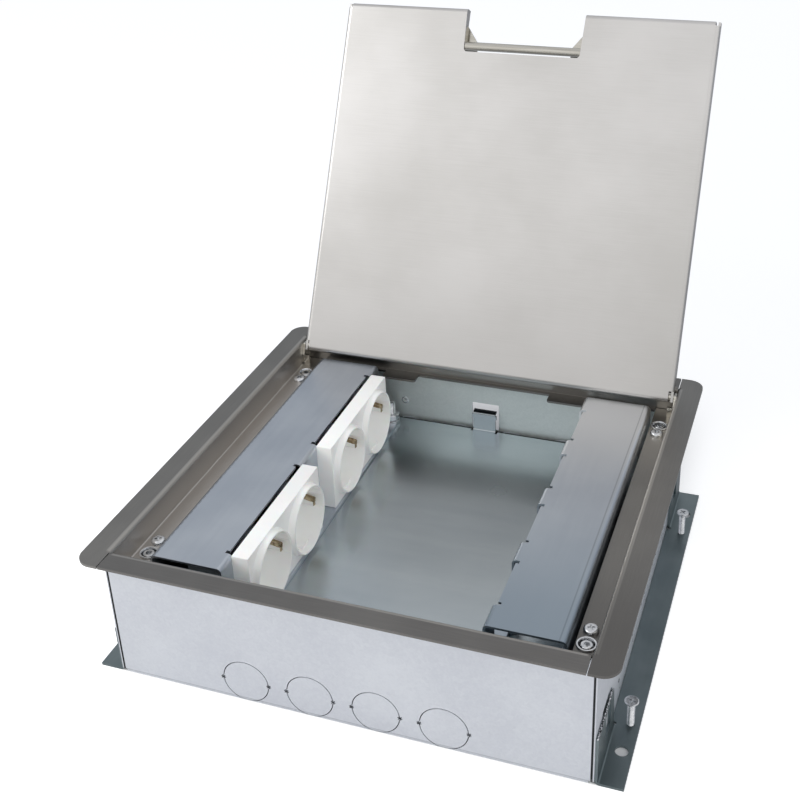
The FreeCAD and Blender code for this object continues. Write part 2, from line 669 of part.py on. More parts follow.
def make_socket_front(middle):
    """White moulded front of a double socket: block, collars and the walls of both wells."""
    half = MODULE_WIDTH / 2
    face = outline([along_x(middle - half, block_bottom), along_x(middle + half, block_bottom),
                    along_x(middle + half, carrier_top), along_x(middle - half, carrier_top)],
                   [BLOCK_ROUND] * 4)
    pieces = [bar(face, X, -carrier_inner, -block_front)]
    for y in well_centres(middle):
        start = Vector(-block_front - 1, y, well_z)
        straight = COLLAR_DEPTH + 1 - COLLAR_TAPER
        pieces.append(rod(collar_radius, start, X, straight))
        pieces.append(Part.makeCone(collar_radius, collar_radius - COLLAR_TAPER, COLLAR_TAPER,
                                    start + X * straight, X))
        pieces.append(rod(cup_radius, Vector(-well_floor, y, well_z), X, well_floor - carrier_inner + 1))
    behind_web = carrier_inner + CARRIER_SHEET + LATCH_PLAY
    latch_root = cutout_half - LATCH_PLAY
    for end in (-1, 1):
        for rise in (-LATCH_OFFSET, LATCH_OFFSET):
            hook = [flat(-carrier_inner, middle + end * (latch_root - LATCH_ROOT)),
                    flat(-carrier_inner, middle + end * latch_root),
                    flat(-behind_web, middle + end * latch_root),
                    flat(-behind_web, middle + end * (latch_root + LATCH_HOOK)),
                    flat(-behind_web - LATCH_ROOT, middle + end * latch_root),
                    flat(-behind_web - LATCH_ROOT, middle + end * (latch_root - LATCH_ROOT))]
            pieces.append(bar(outline(hook, [0] * 6), Z, well_z + rise - LATCH_WIDTH / 2,
                              well_z + rise + LATCH_WIDTH / 2))
    front = join(pieces)
    rebate = CARRIER_BEND + BEND_CLEARANCE
    cuts = [block(-carrier_inner, -carrier_inner + rebate, middle - half - 1, middle + half + 1,
                  block_bottom - 1, foot_top + rebate)]
    for y in well_centres(middle):
        cuts.append(rod(WELL_RADIUS, Vector(-well_floor - 1, y, well_z), X, WELL_DEPTH + 2))
    return front.cut(cuts)


def make_pin_plate(middle):
    """Plate that closes both wells at the back, with the pin holes and the slots of the earth clips."""
    half_y = WELL_PITCH / 2 + cup_radius
    half_z = cup_radius - REAR_PLATE_MARGIN
    plate = block(-cup_rear, -well_floor, middle - half_y, middle + half_y, well_z - half_z,
                  well_z + half_z)
    cuts = []
    for y in well_centres(middle):
        for pin in (-PIN_PITCH / 2, PIN_PITCH / 2):
            cuts.append(rod(PIN_HOLE_RADIUS, Vector(-cup_rear - 1, y + pin, well_z), X, WELL_FLOOR + 2))
        for sign in (-1, 1):
            outer = WELL_RADIUS - STRAP_INSET + STRAP_PLAY
            inner = WELL_RADIUS - STRAP_INSET - STRAP_SHEET - STRAP_PLAY
            low, high = sorted((well_z + sign * inner, well_z + sign * outer))
            cuts.append(block(-cup_rear - 1, -well_floor + 1, y - STRAP_WIDTH / 2 - STRAP_PLAY,
                              y + STRAP_WIDTH / 2 + STRAP_PLAY, low, high))
    return plate.cut(cuts)


def housing_half_y():
    return WELL_PITCH / 2 + cup_radius - HOUSING_MARGIN


def housing_half_z():
    return cup_radius - REAR_PLATE_MARGIN - HOUSING_MARGIN


def make_socket_housing(middle):
    """Rear case of a double socket, open towards the front, with a cable mouth in each end."""
    half_y = housing_half_y()
    half_z = housing_half_z()
    rear = cup_rear + HOUSING_DEPTH
    case = block(-rear, -cup_rear, middle - half_y, middle + half_y, well_z - half_z, well_z + half_z)
    upright = [edge for edge in case.Edges if abs(edge.Vertexes[0].X - edge.Vertexes[-1].X) > 1]
    case = case.makeFillet(2 * HOUSING_WALL, upright)
    inner = block(-rear + HOUSING_WALL, -cup_rear + 1, middle - half_y + HOUSING_WALL,
                  middle + half_y - HOUSING_WALL, well_z - half_z + HOUSING_WALL,
                  well_z + half_z - HOUSING_WALL)
    inner_edges = [edge for edge in inner.Edges if abs(edge.Vertexes[0].X - edge.Vertexes[-1].X) > 1]
    case = case.cut(inner.makeFillet(HOUSING_WALL, inner_edges))
    mouth_start = Vector(-rear + HOUSING_DEPTH / 3, middle - half_y - 1, well_z)
    return case.cut(rod(MOUTH_RADIUS, mouth_start, Y, 2 * half_y + 2))


def make_earth_strap(middle):
    """One strip behind both wells, with a clip at the top and bottom of each well."""
    back = cup_rear + STRAP_PLAY
    reach = WELL_RADIUS - STRAP_INSET
    tip = rim_x + STRAP_TIP
    pieces = []
    for y in well_centres(middle):
        half_clip = [(-tip, reach - CLIP_LEAD), (-tip - CLIP_NOSE, reach - CLIP_BULGE),
                     (-well_floor + CLIP_ROOT, reach), (-back - STRAP_SHEET, reach)]
        clip = [(u, well_z + v) for u, v in half_clip]
        clip += [(u, well_z - v) for u, v in half_clip[::-1]]
        bends = [CLIP_NOSE_BEND, CLIP_SWEEP, CLIP_FOLD]
        pieces.append(folded(clip, STRAP_SHEET, bends + bends[::-1], 1, along_y, Y,
                             y - STRAP_WIDTH / 2, y + STRAP_WIDTH / 2))
    link_z = well_z - reach + STRAP_WIDTH
    pieces.append(block(-back - STRAP_SHEET, -back, middle - WELL_PITCH / 2, middle + WELL_PITCH / 2,
                        link_z - STRAP_WIDTH / 2, link_z + STRAP_WIDTH / 2))
    return join(pieces)


def make_contact_bar(middle, sign):
    """Phase bar (sign +1, above) or neutral bar (-1, below) with a sleeve for each plug pin."""
    sleeve_start = cup_rear + STRAP_PLAY + STRAP_SHEET + SLEEVE_GAP
    bar_front = sleeve_start + SLEEVE_LENGTH
    bar_z = well_z + sign * BAR_OFFSET
    pins = [y - sign * PIN_PITCH / 2 for y in well_centres(middle)]
    outer = SLEEVE_INNER + SLEEVE_WALL
    end = housing_half_y() - HOUSING_WALL - BAR_PLAY
    pieces = [block(-bar_front - BAR_SHEET, -bar_front, middle - end, middle + end,
                    bar_z - BAR_HEIGHT / 2, bar_z + BAR_HEIGHT / 2)]
    cuts = []
    for y in pins:
        low, high = sorted((well_z, bar_z))
        pieces.append(block(-bar_front - BAR_SHEET, -bar_front, y - outer, y + outer, low, high))
        pieces.append(rod(outer, Vector(-bar_front - BAR_SHEET, y, well_z), X, SLEEVE_LENGTH + BAR_SHEET))
        cuts.append(rod(SLEEVE_INNER, Vector(-bar_front, y, well_z), X, SLEEVE_LENGTH + 1))
        slit_low, slit_high = sorted((well_z, well_z - sign * (outer + 1)))
        cuts.append(block(-bar_front + BAR_SHEET, -sleeve_start + 1, y - SLEEVE_SLIT / 2,
                          y + SLEEVE_SLIT / 2, slit_low, slit_high))
    return join(pieces).cut(cuts)


def make_terminal_screws(middle):
    """A slotted screw on each of a module's two contact bars."""
    sleeve_start = cup_rear + STRAP_PLAY + STRAP_SHEET + SLEEVE_GAP
    bar_rear = sleeve_start + SLEEVE_LENGTH + BAR_SHEET
    screws = []
    for sign in (-1, 1):
        screws.append(terminal_screw(Vector(-bar_rear, middle, well_z + sign * BAR_OFFSET)))
    return screws


def terminal_screw(place):
    """Slotted cheese-head screw that stands on a contact bar's rear face."""
    screw = rod(TERMINAL_HEAD_RADIUS, place, -X, TERMINAL_HEAD_HEIGHT)
    slot = block(place.x - TERMINAL_HEAD_HEIGHT - 1, place.x - TERMINAL_HEAD_HEIGHT / 2,
                 place.y - TERMINAL_HEAD_RADIUS - 1, place.y + TERMINAL_HEAD_RADIUS + 1,
                 place.z - TERMINAL_SLOT / 2, place.z + TERMINAL_SLOT / 2)
    return screw.cut(slot)


# ---- Ledge fasteners and corner supports ----
def make_corner_support():
    """Angle welded to the side wall under the ledge; the clamp screw threads into it."""
    reach = box_in_x - SUPPORT_REACH
    path = [(reach, ledge_under), (box_in_x, ledge_under), (box_in_x, ledge_under - SUPPORT_DROP)]
    middle = (insert_y + clamp_y) / 2
    support = folded(path, SUPPORT_SHEET, [FRAME_BEND], -1, along_y, Y,
                     middle - SUPPORT_WIDTH / 2, middle + SUPPORT_WIDTH / 2)
    bottom = support_under - 1
    holes = [rod(INSERT_RADIUS + HOLE_PLAY, Vector(insert_x, insert_y, bottom), Z, SUPPORT_SHEET + 2),
             rod(CLAMP_RADIUS + THREAD_PLAY, Vector(insert_x, clamp_y, bottom), Z, SUPPORT_SHEET + 2)]
    return support.cut(holes)


def make_ledge_insert():
    """Flanged threaded insert in the ledge."""
    top = ledge_top + INSERT_FLANGE_HEIGHT
    flange = rod(INSERT_FLANGE_RADIUS, Vector(insert_x, insert_y, ledge_top), Z, INSERT_FLANGE_HEIGHT)
    shank = rod(INSERT_RADIUS, Vector(insert_x, insert_y, top - INSERT_LENGTH), Z, INSERT_LENGTH)
    bore = rod(SPINDLE_RADIUS + THREAD_PLAY, Vector(insert_x, insert_y, top - INSERT_LENGTH - 1), Z,
               INSERT_LENGTH + 2)
    return join([flange, shank]).cut(bore)


def make_ledge_spindle():
    """Hexagon-socket spindle through the insert, standing on the floor plate."""
    top = ledge_top + INSERT_FLANGE_HEIGHT - SPINDLE_RECESS
    spindle = rod(SPINDLE_RADIUS, Vector(insert_x, insert_y, floor_top), Z, top - floor_top)
    return spindle.cut(hexagon(SPINDLE_HEX, Vector(insert_x, insert_y, top - SPINDLE_HEX_DEPTH),
                               SPINDLE_HEX_DEPTH + 1))


# ---- Earth stud on the floor plate ----
def make_earth_stud():
    return rod(STUD_RADIUS, stud - Z * FLOOR_SHEET, Z, FLOOR_SHEET + STUD_HEIGHT)


def make_earth_nut():
    nut = hexagon(NUT_FLATS, stud + Z * WASHER_SHEET, NUT_HEIGHT)
    bore = rod(STUD_RADIUS + THREAD_PLAY, stud - Z, Z, NUT_HEIGHT + WASHER_SHEET + 2)
    washer = rod(WASHER_RADIUS, stud, Z, WASHER_SHEET)
    return [nut.cut(bore), washer.cut(bore)]


# ---- Lid, drawn closed and then swung open about the hinge ----
def opened(shape):
    """A piece of the lid in the stored position."""
    return shape.rotate(pivot, X, -LID_OPEN_ANGLE)


def make_lid_tray():
    outer_bend = LID_BEND + LID_SHEET
    strip = 3 * outer_bend
    plate = block(-lid_x + outer_bend, lid_x - outer_bend, lid_front + outer_bend, lid_rear - outer_bend,
                  lid_under, lid_under + LID_SHEET)
    pieces = [plate]
    fold_end = pivot.y - HINGE_PIN_HEAD - LID_RELIEF
    for sign in (-1, 1):
        side = [(sign * (lid_x - strip), lid_under), (sign * lid_x, lid_under), (sign * lid_x, lid_rim)]
        pieces.append(folded(side, LID_SHEET, [LID_BEND], sign, along_y, Y,
                             lid_front + outer_bend, fold_end))
        low, high = sorted((sign * lid_x, sign * (lid_x - LID_SHEET)))
        pieces.append(block(low, high, lid_front + LID_EDGE_STEP, fold_end,
                            lid_under + outer_bend, lid_rim))
        pieces.append(block(low, high, fold_end, lid_rear - LID_EDGE_STEP,
                            lid_under + LID_SHEET + LID_RELIEF / 2, lid_rim))
    rear = [(lid_rear - strip, lid_under), (lid_rear, lid_under), (lid_rear, lid_rim)]
    front = [(lid_front + strip, lid_under), (lid_front, lid_under), (lid_front, lid_rim)]
    end_x = lid_x - outer_bend
    pieces.append(folded(rear, LID_SHEET, [LID_BEND], 1, along_x, X, -end_x, end_x))
    pieces.append(folded(front, LID_SHEET, [LID_BEND], -1, along_x, X, -end_x, end_x))
    tray = join(pieces)
    bottom = NOTCH_HALF_WIDTH - NOTCH_TAPER
    deep = lid_front + NOTCH_DEPTH
    notch = [flat(-NOTCH_HALF_WIDTH, lid_front - 1), flat(NOTCH_HALF_WIDTH, lid_front - 1),
             flat(bottom, deep), flat(-bottom, deep)]
    cuts = [bar(outline(notch, [0, 0, NOTCH_ROUND, NOTCH_ROUND]), Z, lid_under - 1, lid_rim + 1)]
    for sign in (-1, 1):
        start = Vector(sign * (lid_x - 1.5 * LID_SHEET), pivot.y, pivot.z)
        cuts.append(rod(HINGE_PIN_RADIUS + PIN_SEAT, start, X * sign, LID_SHEET * 2))
    tray = tray.cut(cuts)
    walls = [tray]
    for sign in (-1, 1):
        low, high = sorted((sign * NOTCH_HALF_WIDTH, sign * (NOTCH_HALF_WIDTH + LID_SHEET)))
        walls.append(block(low, high, lid_front + LID_SHEET, lid_front + NOTCH_FLANGE,
                           lid_under + LID_SHEET, lid_rim))
    return join(walls)


def make_grip_bar():
    end = NOTCH_HALF_WIDTH - NOTCH_TAPER - GRIP_PLAY
    height = lid_rim - LID_SHEET - GRIP_RADIUS - GRIP_PLAY
    return rod(GRIP_RADIUS, Vector(-end, lid_front + GRIP_EDGE, height), X, 2 * end)


def make_grip_ear(sign):
    """Angle beside the notch, with a gusset that covers the bar's end."""
    side = sign * (NOTCH_HALF_WIDTH + LID_SHEET)
    inner = sign * NOTCH_HALF_WIDTH
    tip = sign * (NOTCH_HALF_WIDTH - GRIP_EAR_REACH)
    front = lid_front + NOTCH_FLANGE + GRIP_EAR_GAP
    bar_y = lid_front + GRIP_EDGE
    gusset = [flat(side, front), flat(inner, front), flat(tip, bar_y - GRIP_RADIUS),
              flat(tip, bar_y + GRIP_RADIUS), flat(side, bar_y + GRIP_RADIUS)]
    low, high = sorted((inner, side))
    wall = block(low, high, front, bar_y + GRIP_RADIUS, lid_under + LID_SHEET, lid_rim)
    return join([bar(outline(gusset, [0] * 5), Z, lid_rim - LID_SHEET, lid_rim), wall])


# ---- Hinge ----
def make_hinge_pin():
    start = Vector(lid_x - LID_SHEET, pivot.y, pivot.z)
    shank = rod(HINGE_PIN_RADIUS, start, X, LID_SHEET + LUG_GAP + LUG_SHEET)
    head = rod(HINGE_PIN_HEAD, start - X * HINGE_PIN_HEAD_SHEET, X, HINGE_PIN_HEAD_SHEET)
    return join([shank, head])


def make_hinge_lug():
    """Right lug: a cheek beside the lid and a stiffener folded in front of it."""
    rear = pivot.y + LUG_DEPTH / 2
    front = rear - LUG_DEPTH
    top = pivot.z + LUG_TOP_RADIUS
    cheek = [along_x(front, ledge_top), along_x(rear, ledge_top),
             along_x(rear, pivot.z), along_x(pivot.y + LUG_TOP_RADIUS, top),
             along_x(pivot.y - LUG_TOP_RADIUS, top), along_x(front, pivot.z - LUG_STIFFENER_DROP)]
    plate = bar(outline(cheek, [0, 0, 1, 1, 1, 0]), X, lug_x, lug_x + LUG_SHEET)
    stiffener = block(lug_x + LUG_SHEET - LUG_STIFFENER, lug_x + LUG_SHEET, front, front + LUG_SHEET,
                      ledge_top, pivot.z - LUG_STIFFENER_DROP)
    hole = rod(HINGE_PIN_RADIUS + HINGE_FIT, Vector(lug_x - 1, pivot.y, pivot.z), X, LUG_SHEET + 2)
    rebate = LEDGE_BEND + BEND_CLEARANCE
    fold = block(web_in_x - rebate, web_in_x, front - 1, rear + 1, ledge_top - 1, ledge_top + rebate)
    return join([plate, stiffener]).cut([hole, fold])


# ---- Nodes ----
os.makedirs("parts", exist_ok=True)

save("box_tray", [make_box_tray()])
bracket_right = make_side_bracket()
save("side_bracket_right", [bracket_right])
save("side_bracket_left", [mirrored(bracket_right, X)])
for name, x, y in (("fl", -screw_x, -screw_y), ("fr", screw_x, -screw_y),
                   ("rl", -screw_x, screw_y), ("rr", screw_x, screw_y)):
    save("levelling_screw_" + name, [make_levelling_screw(x, y)])

strip_right = make_side_strip()
save("frame_right", [strip_right])
save("frame_left", [mirrored(strip_right, X)])
save("frame_rear", [make_end_strip(True)])
save("frame_front", [mirrored(make_end_strip(False), Y)])

save("floor_plate", [make_floor_plate()])
save("earth_stud", [make_earth_stud()])
save("earth_nut", make_earth_nut())

data_cutouts = []
for i in range(4):
    data_middle = (i - 1.5) * DATA_PITCH
    data_cutouts.append((data_middle - DATA_CUTOUT_WIDTH / 2, data_middle + DATA_CUTOUT_WIDTH / 2))
save("carrier_right", [make_carrier(data_cutouts, foot_top + DATA_CUTOUT_SILL)])
socket_cutouts = []
for module_middle in (-module_y, module_y):
    socket_cutouts.append((module_middle - cutout_half, module_middle + cutout_half))
cup_sill = well_z - cup_radius - CUTOUT_MARGIN / 2
save("carrier_left", [mirrored(make_carrier(socket_cutouts, cup_sill), X)])
carrier_screws = []
for side in (-1, 1):
    for end in (-1, 1):
        for step in range(2):
            carrier_screws.append(pan_screw(carrier_screw_point(side, end, step), CARRIER_SCREW_RADIUS,
                                            CARRIER_SCREW_HEAD_RADIUS, CARRIER_SCREW_HEAD_HEIGHT,
                                            CARRIER_SCREW_LENGTH))
save("carrier_screws", carrier_screws)

terminal_screws = []
for name, module_middle in (("a", -module_y), ("b", module_y)):
    save("socket_front_" + name, [make_socket_front(module_middle)])
    save("pin_plate_" + name, [make_pin_plate(module_middle)])
    save("socket_housing_" + name, [make_socket_housing(module_middle)])
    save("earth_strap_" + name, [make_earth_strap(module_middle)])
    save("phase_bar_" + name, [make_contact_bar(module_middle, 1)])
    save("neutral_bar_" + name, [make_contact_bar(module_middle, -1)])
    terminal_screws += make_terminal_screws(module_middle)
save("terminal_screws", terminal_screws)

save("corner_supports", four_corners(make_corner_support()))
save("ledge_inserts", four_corners(make_ledge_insert()))
save("ledge_spindles", four_corners(make_ledge_spindle()))
clamp_seat = Vector(insert_x, clamp_y, ledge_top)
clamp_screw = pan_screw(clamp_seat, CLAMP_RADIUS, CLAMP_HEAD_RADIUS, CLAMP_HEAD_HEIGHT, CLAMP_LENGTH)
clamp_recess = cross_recess(clamp_seat + Z * CLAMP_HEAD_HEIGHT, CROSS_WIDTH, CROSS_LENGTH, CROSS_DEPTH)
save("clamp_screws", four_corners(clamp_screw.cut(clamp_recess)))

hinge_lug = make_hinge_lug()
save("hinge_lugs", [hinge_lug, mirrored(hinge_lug, X)])
hinge_pin = make_hinge_pin()
save("hinge_pins", [opened(hinge_pin), opened(mirrored(hinge_pin, X))])
save("lid_tray", [opened(make_lid_tray())])
save("grip_bar", [opened(make_grip_bar())])
save("grip_ears", [opened(make_grip_ear(-1)), opened(make_grip_ear(1))])
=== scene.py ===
import math

import bmesh
import bpy
from mathutils import Matrix, Vector


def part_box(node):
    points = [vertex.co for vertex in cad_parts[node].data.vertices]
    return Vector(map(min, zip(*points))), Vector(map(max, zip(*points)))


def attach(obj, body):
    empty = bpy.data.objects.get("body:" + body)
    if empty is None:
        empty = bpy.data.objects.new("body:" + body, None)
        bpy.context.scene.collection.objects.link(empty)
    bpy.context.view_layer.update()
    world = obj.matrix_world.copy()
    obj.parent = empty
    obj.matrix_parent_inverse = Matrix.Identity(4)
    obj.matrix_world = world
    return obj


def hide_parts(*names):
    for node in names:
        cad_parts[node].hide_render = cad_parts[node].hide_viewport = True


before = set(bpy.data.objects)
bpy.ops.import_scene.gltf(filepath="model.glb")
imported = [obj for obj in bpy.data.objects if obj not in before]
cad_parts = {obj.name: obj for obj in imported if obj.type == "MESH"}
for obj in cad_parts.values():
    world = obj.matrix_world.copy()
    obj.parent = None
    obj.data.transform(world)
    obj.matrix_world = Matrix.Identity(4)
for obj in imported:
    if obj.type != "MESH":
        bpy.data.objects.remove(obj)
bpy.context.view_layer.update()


# ---- Camera ----
# A short telephoto view from above the front right-hand corner, turned a little about its axis.
# The small downward shift keeps the upright walls nearly parallel.
AZIMUTH = math.radians(19.671)
ELEVATION = math.radians(26.360)
ROLL = math.radians(-1.769)
EYE = Vector((0.2104, -0.5477, 0.4752))
lens = bpy.data.cameras.new("camera")
lens.sensor_width = 36.0
lens.lens = 54.76
lens.shift_x = -0.050
lens.shift_y = -0.125
lens.clip_start = 0.05
back = Vector((math.sin(AZIMUTH) * math.cos(ELEVATION), -math.cos(AZIMUTH) * math.cos(ELEVATION),
               math.sin(ELEVATION)))
level = Vector((0, 0, 1)).cross(back).normalized()
upright = back.cross(level)
camera_right = level * math.cos(ROLL) + upright * math.sin(ROLL)
camera_up = upright * math.cos(ROLL) - level * math.sin(ROLL)
camera = bpy.data.objects.new("camera", lens)
camera_turn = Matrix((camera_right, camera_up, back)).transposed().to_4x4()
camera.matrix_world = Matrix.Translation(EYE) @ camera_turn
bpy.context.scene.collection.objects.link(camera)
bpy.context.scene.camera = camera
bpy.context.scene.view_settings.view_transform = "Standard"


# ---- Studio ----
# A white paper floor, a large soft light from the front left and a room that is bright in
# front and dim behind, as a light tent is.
class Wire:
    """One output of a node tree that can be added, multiplied and fed to other nodes."""

    def __init__(self, socket):
        self.socket = socket
        self.tree = socket.id_data

    @classmethod
    def node(cls, tree, kind, settings, inputs, output=0):
        """Any node: its settings first, then the value or wire of each input."""
        made = tree.nodes.new(kind)
        for name, value in settings.items():
            setattr(made, name, value)
        for name, value in inputs.items():
            if isinstance(value, Wire):
                tree.links.new(value.socket, made.inputs[name])
            else:
                made.inputs[name].default_value = value
        return cls(made.outputs[output])

    def maths(self, operation, first, second=0.0):
        """A sum node in the wire's own tree."""
        return Wire.node(self.tree, "ShaderNodeMath", {"operation": operation}, {0: first, 1: second})

    def __add__(self, other):
        return self.maths("ADD", self, other)

    def __radd__(self, other):
        return self.maths("ADD", other, self)

    def __sub__(self, other):
        return self.maths("SUBTRACT", self, other)

    def __rsub__(self, other):
        return self.maths("SUBTRACT", other, self)

    def __mul__(self, other):
        return self.maths("MULTIPLY", self, other)

    def __rmul__(self, other):
        return self.maths("MULTIPLY", other, self)

    def size(self):
        """The value without its sign."""
        return self.maths("ABSOLUTE", self)

    def root(self):
        """The square root of the value."""
        return self.maths("SQRT", self)

    def fraction(self):
        """The part of the value after its last whole number."""
        return self.maths("FRACT", self)

    def between(self, low, high):
        """The wire's share of the way from low to high, smoothed and kept within 0 and 1."""
        return Wire.node(self.tree, "ShaderNodeMapRange", {"interpolation_type": "SMOOTHSTEP"},
                         {"Value": self, "From Min": low, "From Max": high})


def screen(red, green, blue):
    """A colour given in display values of 0 to 255, as the linear colour that nodes take."""
    def linear(value):
        """One display value, from 0 to 255, as linear light."""
        share = value / 255
        return share / 12.92 if share < 0.04045 else ((share + 0.055) / 1.055) ** 2.4
    return (linear(red), linear(green), linear(blue), 1.0)


def blend_colour(factor, first, second):
    """A colour between two colours or colour wires."""
    return Wire.node(factor.tree, "ShaderNodeMix", {"data_type": "RGBA"},
                     {0: factor, 6: first, 7: second}, output=2)


BLACK = (0, 0, 0, 1)
WHITE = (1, 1, 1, 1)
ROOM_FRONT = screen(252, 252, 252)
ROOM_ABOVE = screen(220, 221, 224)
ROOM_BEHIND = screen(166, 171, 178)
world = bpy.data.worlds.new("studio")
world.use_nodes = True
bpy.context.scene.world = world
air = world.node_tree
heading = Wire.node(air, "ShaderNodeTexCoord", {}, {}, output="Generated")
towards_rear = Wire.node(air, "ShaderNodeSeparateXYZ", {}, {0: heading}, output="Y")
towards_top = Wire.node(air, "ShaderNodeSeparateXYZ", {}, {0: heading}, output="Z")
open_room = blend_colour(towards_top.between(0.5, 0.95), ROOM_FRONT, ROOM_ABOVE)
dim_share = towards_rear.between(0.05, 0.5) * (1 - towards_top.between(0.45, 0.85))
room = blend_colour(dim_share, open_room, ROOM_BEHIND)
seen = Wire.node(air, "ShaderNodeLightPath", {}, {}, output="Is Camera Ray")
air.links.new(blend_colour(seen, room, WHITE).socket, air.nodes["Background"].inputs["Color"])
air.nodes["Background"].inputs["Strength"].default_value = 1.0

KEY_PLACE = Vector((-1.7, -0.7, 1.5))
KEY_AIM = Vector((0, 0, 0.05))
key_lamp = bpy.data.lights.new("key_light", "AREA")
key_lamp.size = 1.2
key_lamp.energy = 15.0
key_light = bpy.data.objects.new("key_light", key_lamp)
key_light.location = KEY_PLACE
key_light.rotation_euler = (KEY_AIM - KEY_PLACE).to_track_quat("-Z", "Y").to_euler()
bpy.context.scene.collection.objects.link(key_light)


def finish(name, constants):
    """A new material and its shader; the constants go straight on the shader's own sockets."""
    material = bpy.data.materials.new(name)
    material.use_nodes = True
    shader = material.node_tree.nodes["Principled BSDF"]
    for socket, value in constants.items():
        shader.inputs[socket].default_value = value
    return material, shader


def feed(shader, socket, wire):
    """Runs a wire to one of the shader's sockets."""
    shader.id_data.links.new(wire.socket, shader.inputs[socket])


def on_object(tree, stretch=(1, 1, 1)):
    """Object coordinates, stretched by a factor along each axis."""
    place = Wire.node(tree, "ShaderNodeTexCoord", {}, {}, output="Object")
    return Wire.node(tree, "ShaderNodeMapping", {}, {"Vector": place, "Scale": stretch})


def noise(tree, scale, stretch=(1, 1, 1), detail=3.0):
    """Smooth noise of so many bumps per metre, from 0 to 1."""
    return Wire.node(tree, "ShaderNodeTexNoise", {},
                     {"Vector": on_object(tree, stretch), "Scale": scale, "Detail": detail})


MM = 0.001


def extent(node):
    """Lowest and highest corner of a CAD node, in millimetres."""
    low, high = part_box(node)
    return Vector(low) / MM, Vector(high) / MM


def axis(tree, name):
    """One object coordinate in millimetres."""
    return Wire.node(tree, "ShaderNodeSeparateXYZ", {}, {0: on_object(tree, (1 / MM,) * 3)}, output=name)


# The paper glows a little to the camera, except under and close behind the part, where it is
# seen through the part's holes and would otherwise lose its shade.
FLOOR_HALF = 6.0
BLUR = 1.0
PAPER_SHADE_SPAN = (-300, 500)
SHADE_SIDES = (90, 150)
SHADE_NEAR_END = (115, 130)
SHADE_FAR_END = (150, 270)
bracket_edge = extent("side_bracket_right")[1] - Vector((0.25, 0.25, 0))
paper, shader = finish("studio_floor_paper", {"Roughness": 0.9, "Specular IOR Level": 0.1,
                                              "Emission Strength": 1.0})
tree = paper.node_tree
across = axis(tree, "X").size()
backwards = axis(tree, "Y")
# The paper is painted darker and bluer towards the rear, as painted shade from the dim side of the room.
feed(shader, "Base Color", blend_colour(backwards.between(*PAPER_SHADE_SPAN), screen(246, 246, 246),
                                        screen(176, 179, 184)))
beside_part = across.between(bracket_edge.x - BLUR, bracket_edge.x + BLUR)
past_ends = backwards.size().between(bracket_edge.y - BLUR, bracket_edge.y + BLUR)
under_part = (1 - beside_part) * (1 - past_ends)
behind_part = (1 - across.between(*SHADE_SIDES)) * backwards.between(*SHADE_NEAR_END) \
    * (1 - backwards.between(*SHADE_FAR_END))
direct = Wire.node(tree, "ShaderNodeLightPath", {}, {}, output="Is Camera Ray")
glow = direct * (1 - under_part) * (1 - behind_part)
feed(shader, "Emission Color", blend_colour(glow, BLACK, screen(206, 206, 206)))
floor_mesh = bpy.data.meshes.new("studio_floor")
corners = [(-FLOOR_HALF, -FLOOR_HALF, 0), (FLOOR_HALF, -FLOOR_HALF, 0),
           (FLOOR_HALF, FLOOR_HALF, 0), (-FLOOR_HALF, FLOOR_HALF, 0)]
floor_mesh.from_pydata(corners, [], [(0, 1, 2, 3)])
floor_mesh.materials.append(paper)
studio_floor = bpy.data.objects.new("studio_floor", floor_mesh)
bpy.context.scene.collection.objects.link(studio_floor)


# ---- Box tray ----
# Pre-galvanised sheet, 1.25 mm thick, punched and folded up on four sides.  The zinc dulls to a
# pale cloudy grey; the blanks are sheared all but two bridges, each nipped by a small punch.
def dress(names, material):
    """Gives CAD nodes a material in their own slots."""
    for name in names:
        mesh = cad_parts[name].data
        if not mesh.materials:
            mesh.materials.append(material)
        for index in range(len(mesh.materials)):
            mesh.materials[index] = material


def bump(tree, height, relief):
    """A normal from a height wire; the relief is in millimetres."""
    return Wire.node(tree, "ShaderNodeBump", {}, {"Height": height, "Distance": relief * MM})


def line(coordinate, place, half_width):
    """1 on a line across a coordinate, fading to 0 at its edges."""
    return 1 - (coordinate - place).size().between(half_width * 0.5, half_width)


def distance(first, second):
    """The length of a vector with two components."""
    return (first * first + second * second).root()


BOX_SHEET = 1.25
KNOCKOUT_COUNT = 4
KNOCKOUT_PITCH = 36.6
KNOCKOUT_HEIGHT = 14.2
KNOCKOUT_RADIUS = 13.2
KNOCKOUT_ROW = KNOCKOUT_COUNT / 2 * KNOCKOUT_PITCH
PLATE_EDGE_Z = 26.0
FOLD_SHADE_Z = 2.7
CORNER_GAP_DEPTH = 1.2
box_half = extent("box_tray")[1]
galvanised, shader = finish("galvanised_box_sheet", {"Metallic": 0.75})
tree = galvanised.node_tree
spangle = Wire.node(tree, "ShaderNodeTexVoronoi", {}, {"Vector": on_object(tree), "Scale": 420.0},
                    output="Color")
flakes = Wire.node(tree, "ShaderNodeSeparateColor", {}, {0: spangle})
clouds = noise(tree, 22.0, detail=4.0)
specks = noise(tree, 700.0, detail=2.0)
tone = (flakes * 0.12 + clouds * 0.6 + specks * 0.28).between(0.25, 0.75)
outer_colour = blend_colour(tone, screen(213, 216, 223), screen(226, 229, 234))
inner_colour = blend_colour(tone, screen(212, 220, 219), screen(226, 233, 232))
in_x = axis(tree, "X").size()
in_y = axis(tree, "Y").size()
height = axis(tree, "Z")
# The faces inside the box are greener, and below the floor plate they are painted dark, as shade.
inner_wall = (1 - in_y.between(box_half.y - 1.0, box_half.y - 0.6)) \
    * (1 - in_x.between(box_half.x - 1.0, box_half.x - 0.6))
shade_below_plate = inner_wall * (1 - height.between(PLATE_EDGE_Z - 0.5, PLATE_EDGE_Z + 0.5)) * height.between(2, 6)
sheet_colour = blend_colour(shade_below_plate * 0.85, blend_colour(inner_wall, outer_colour, inner_colour),
                            screen(44, 48, 50))
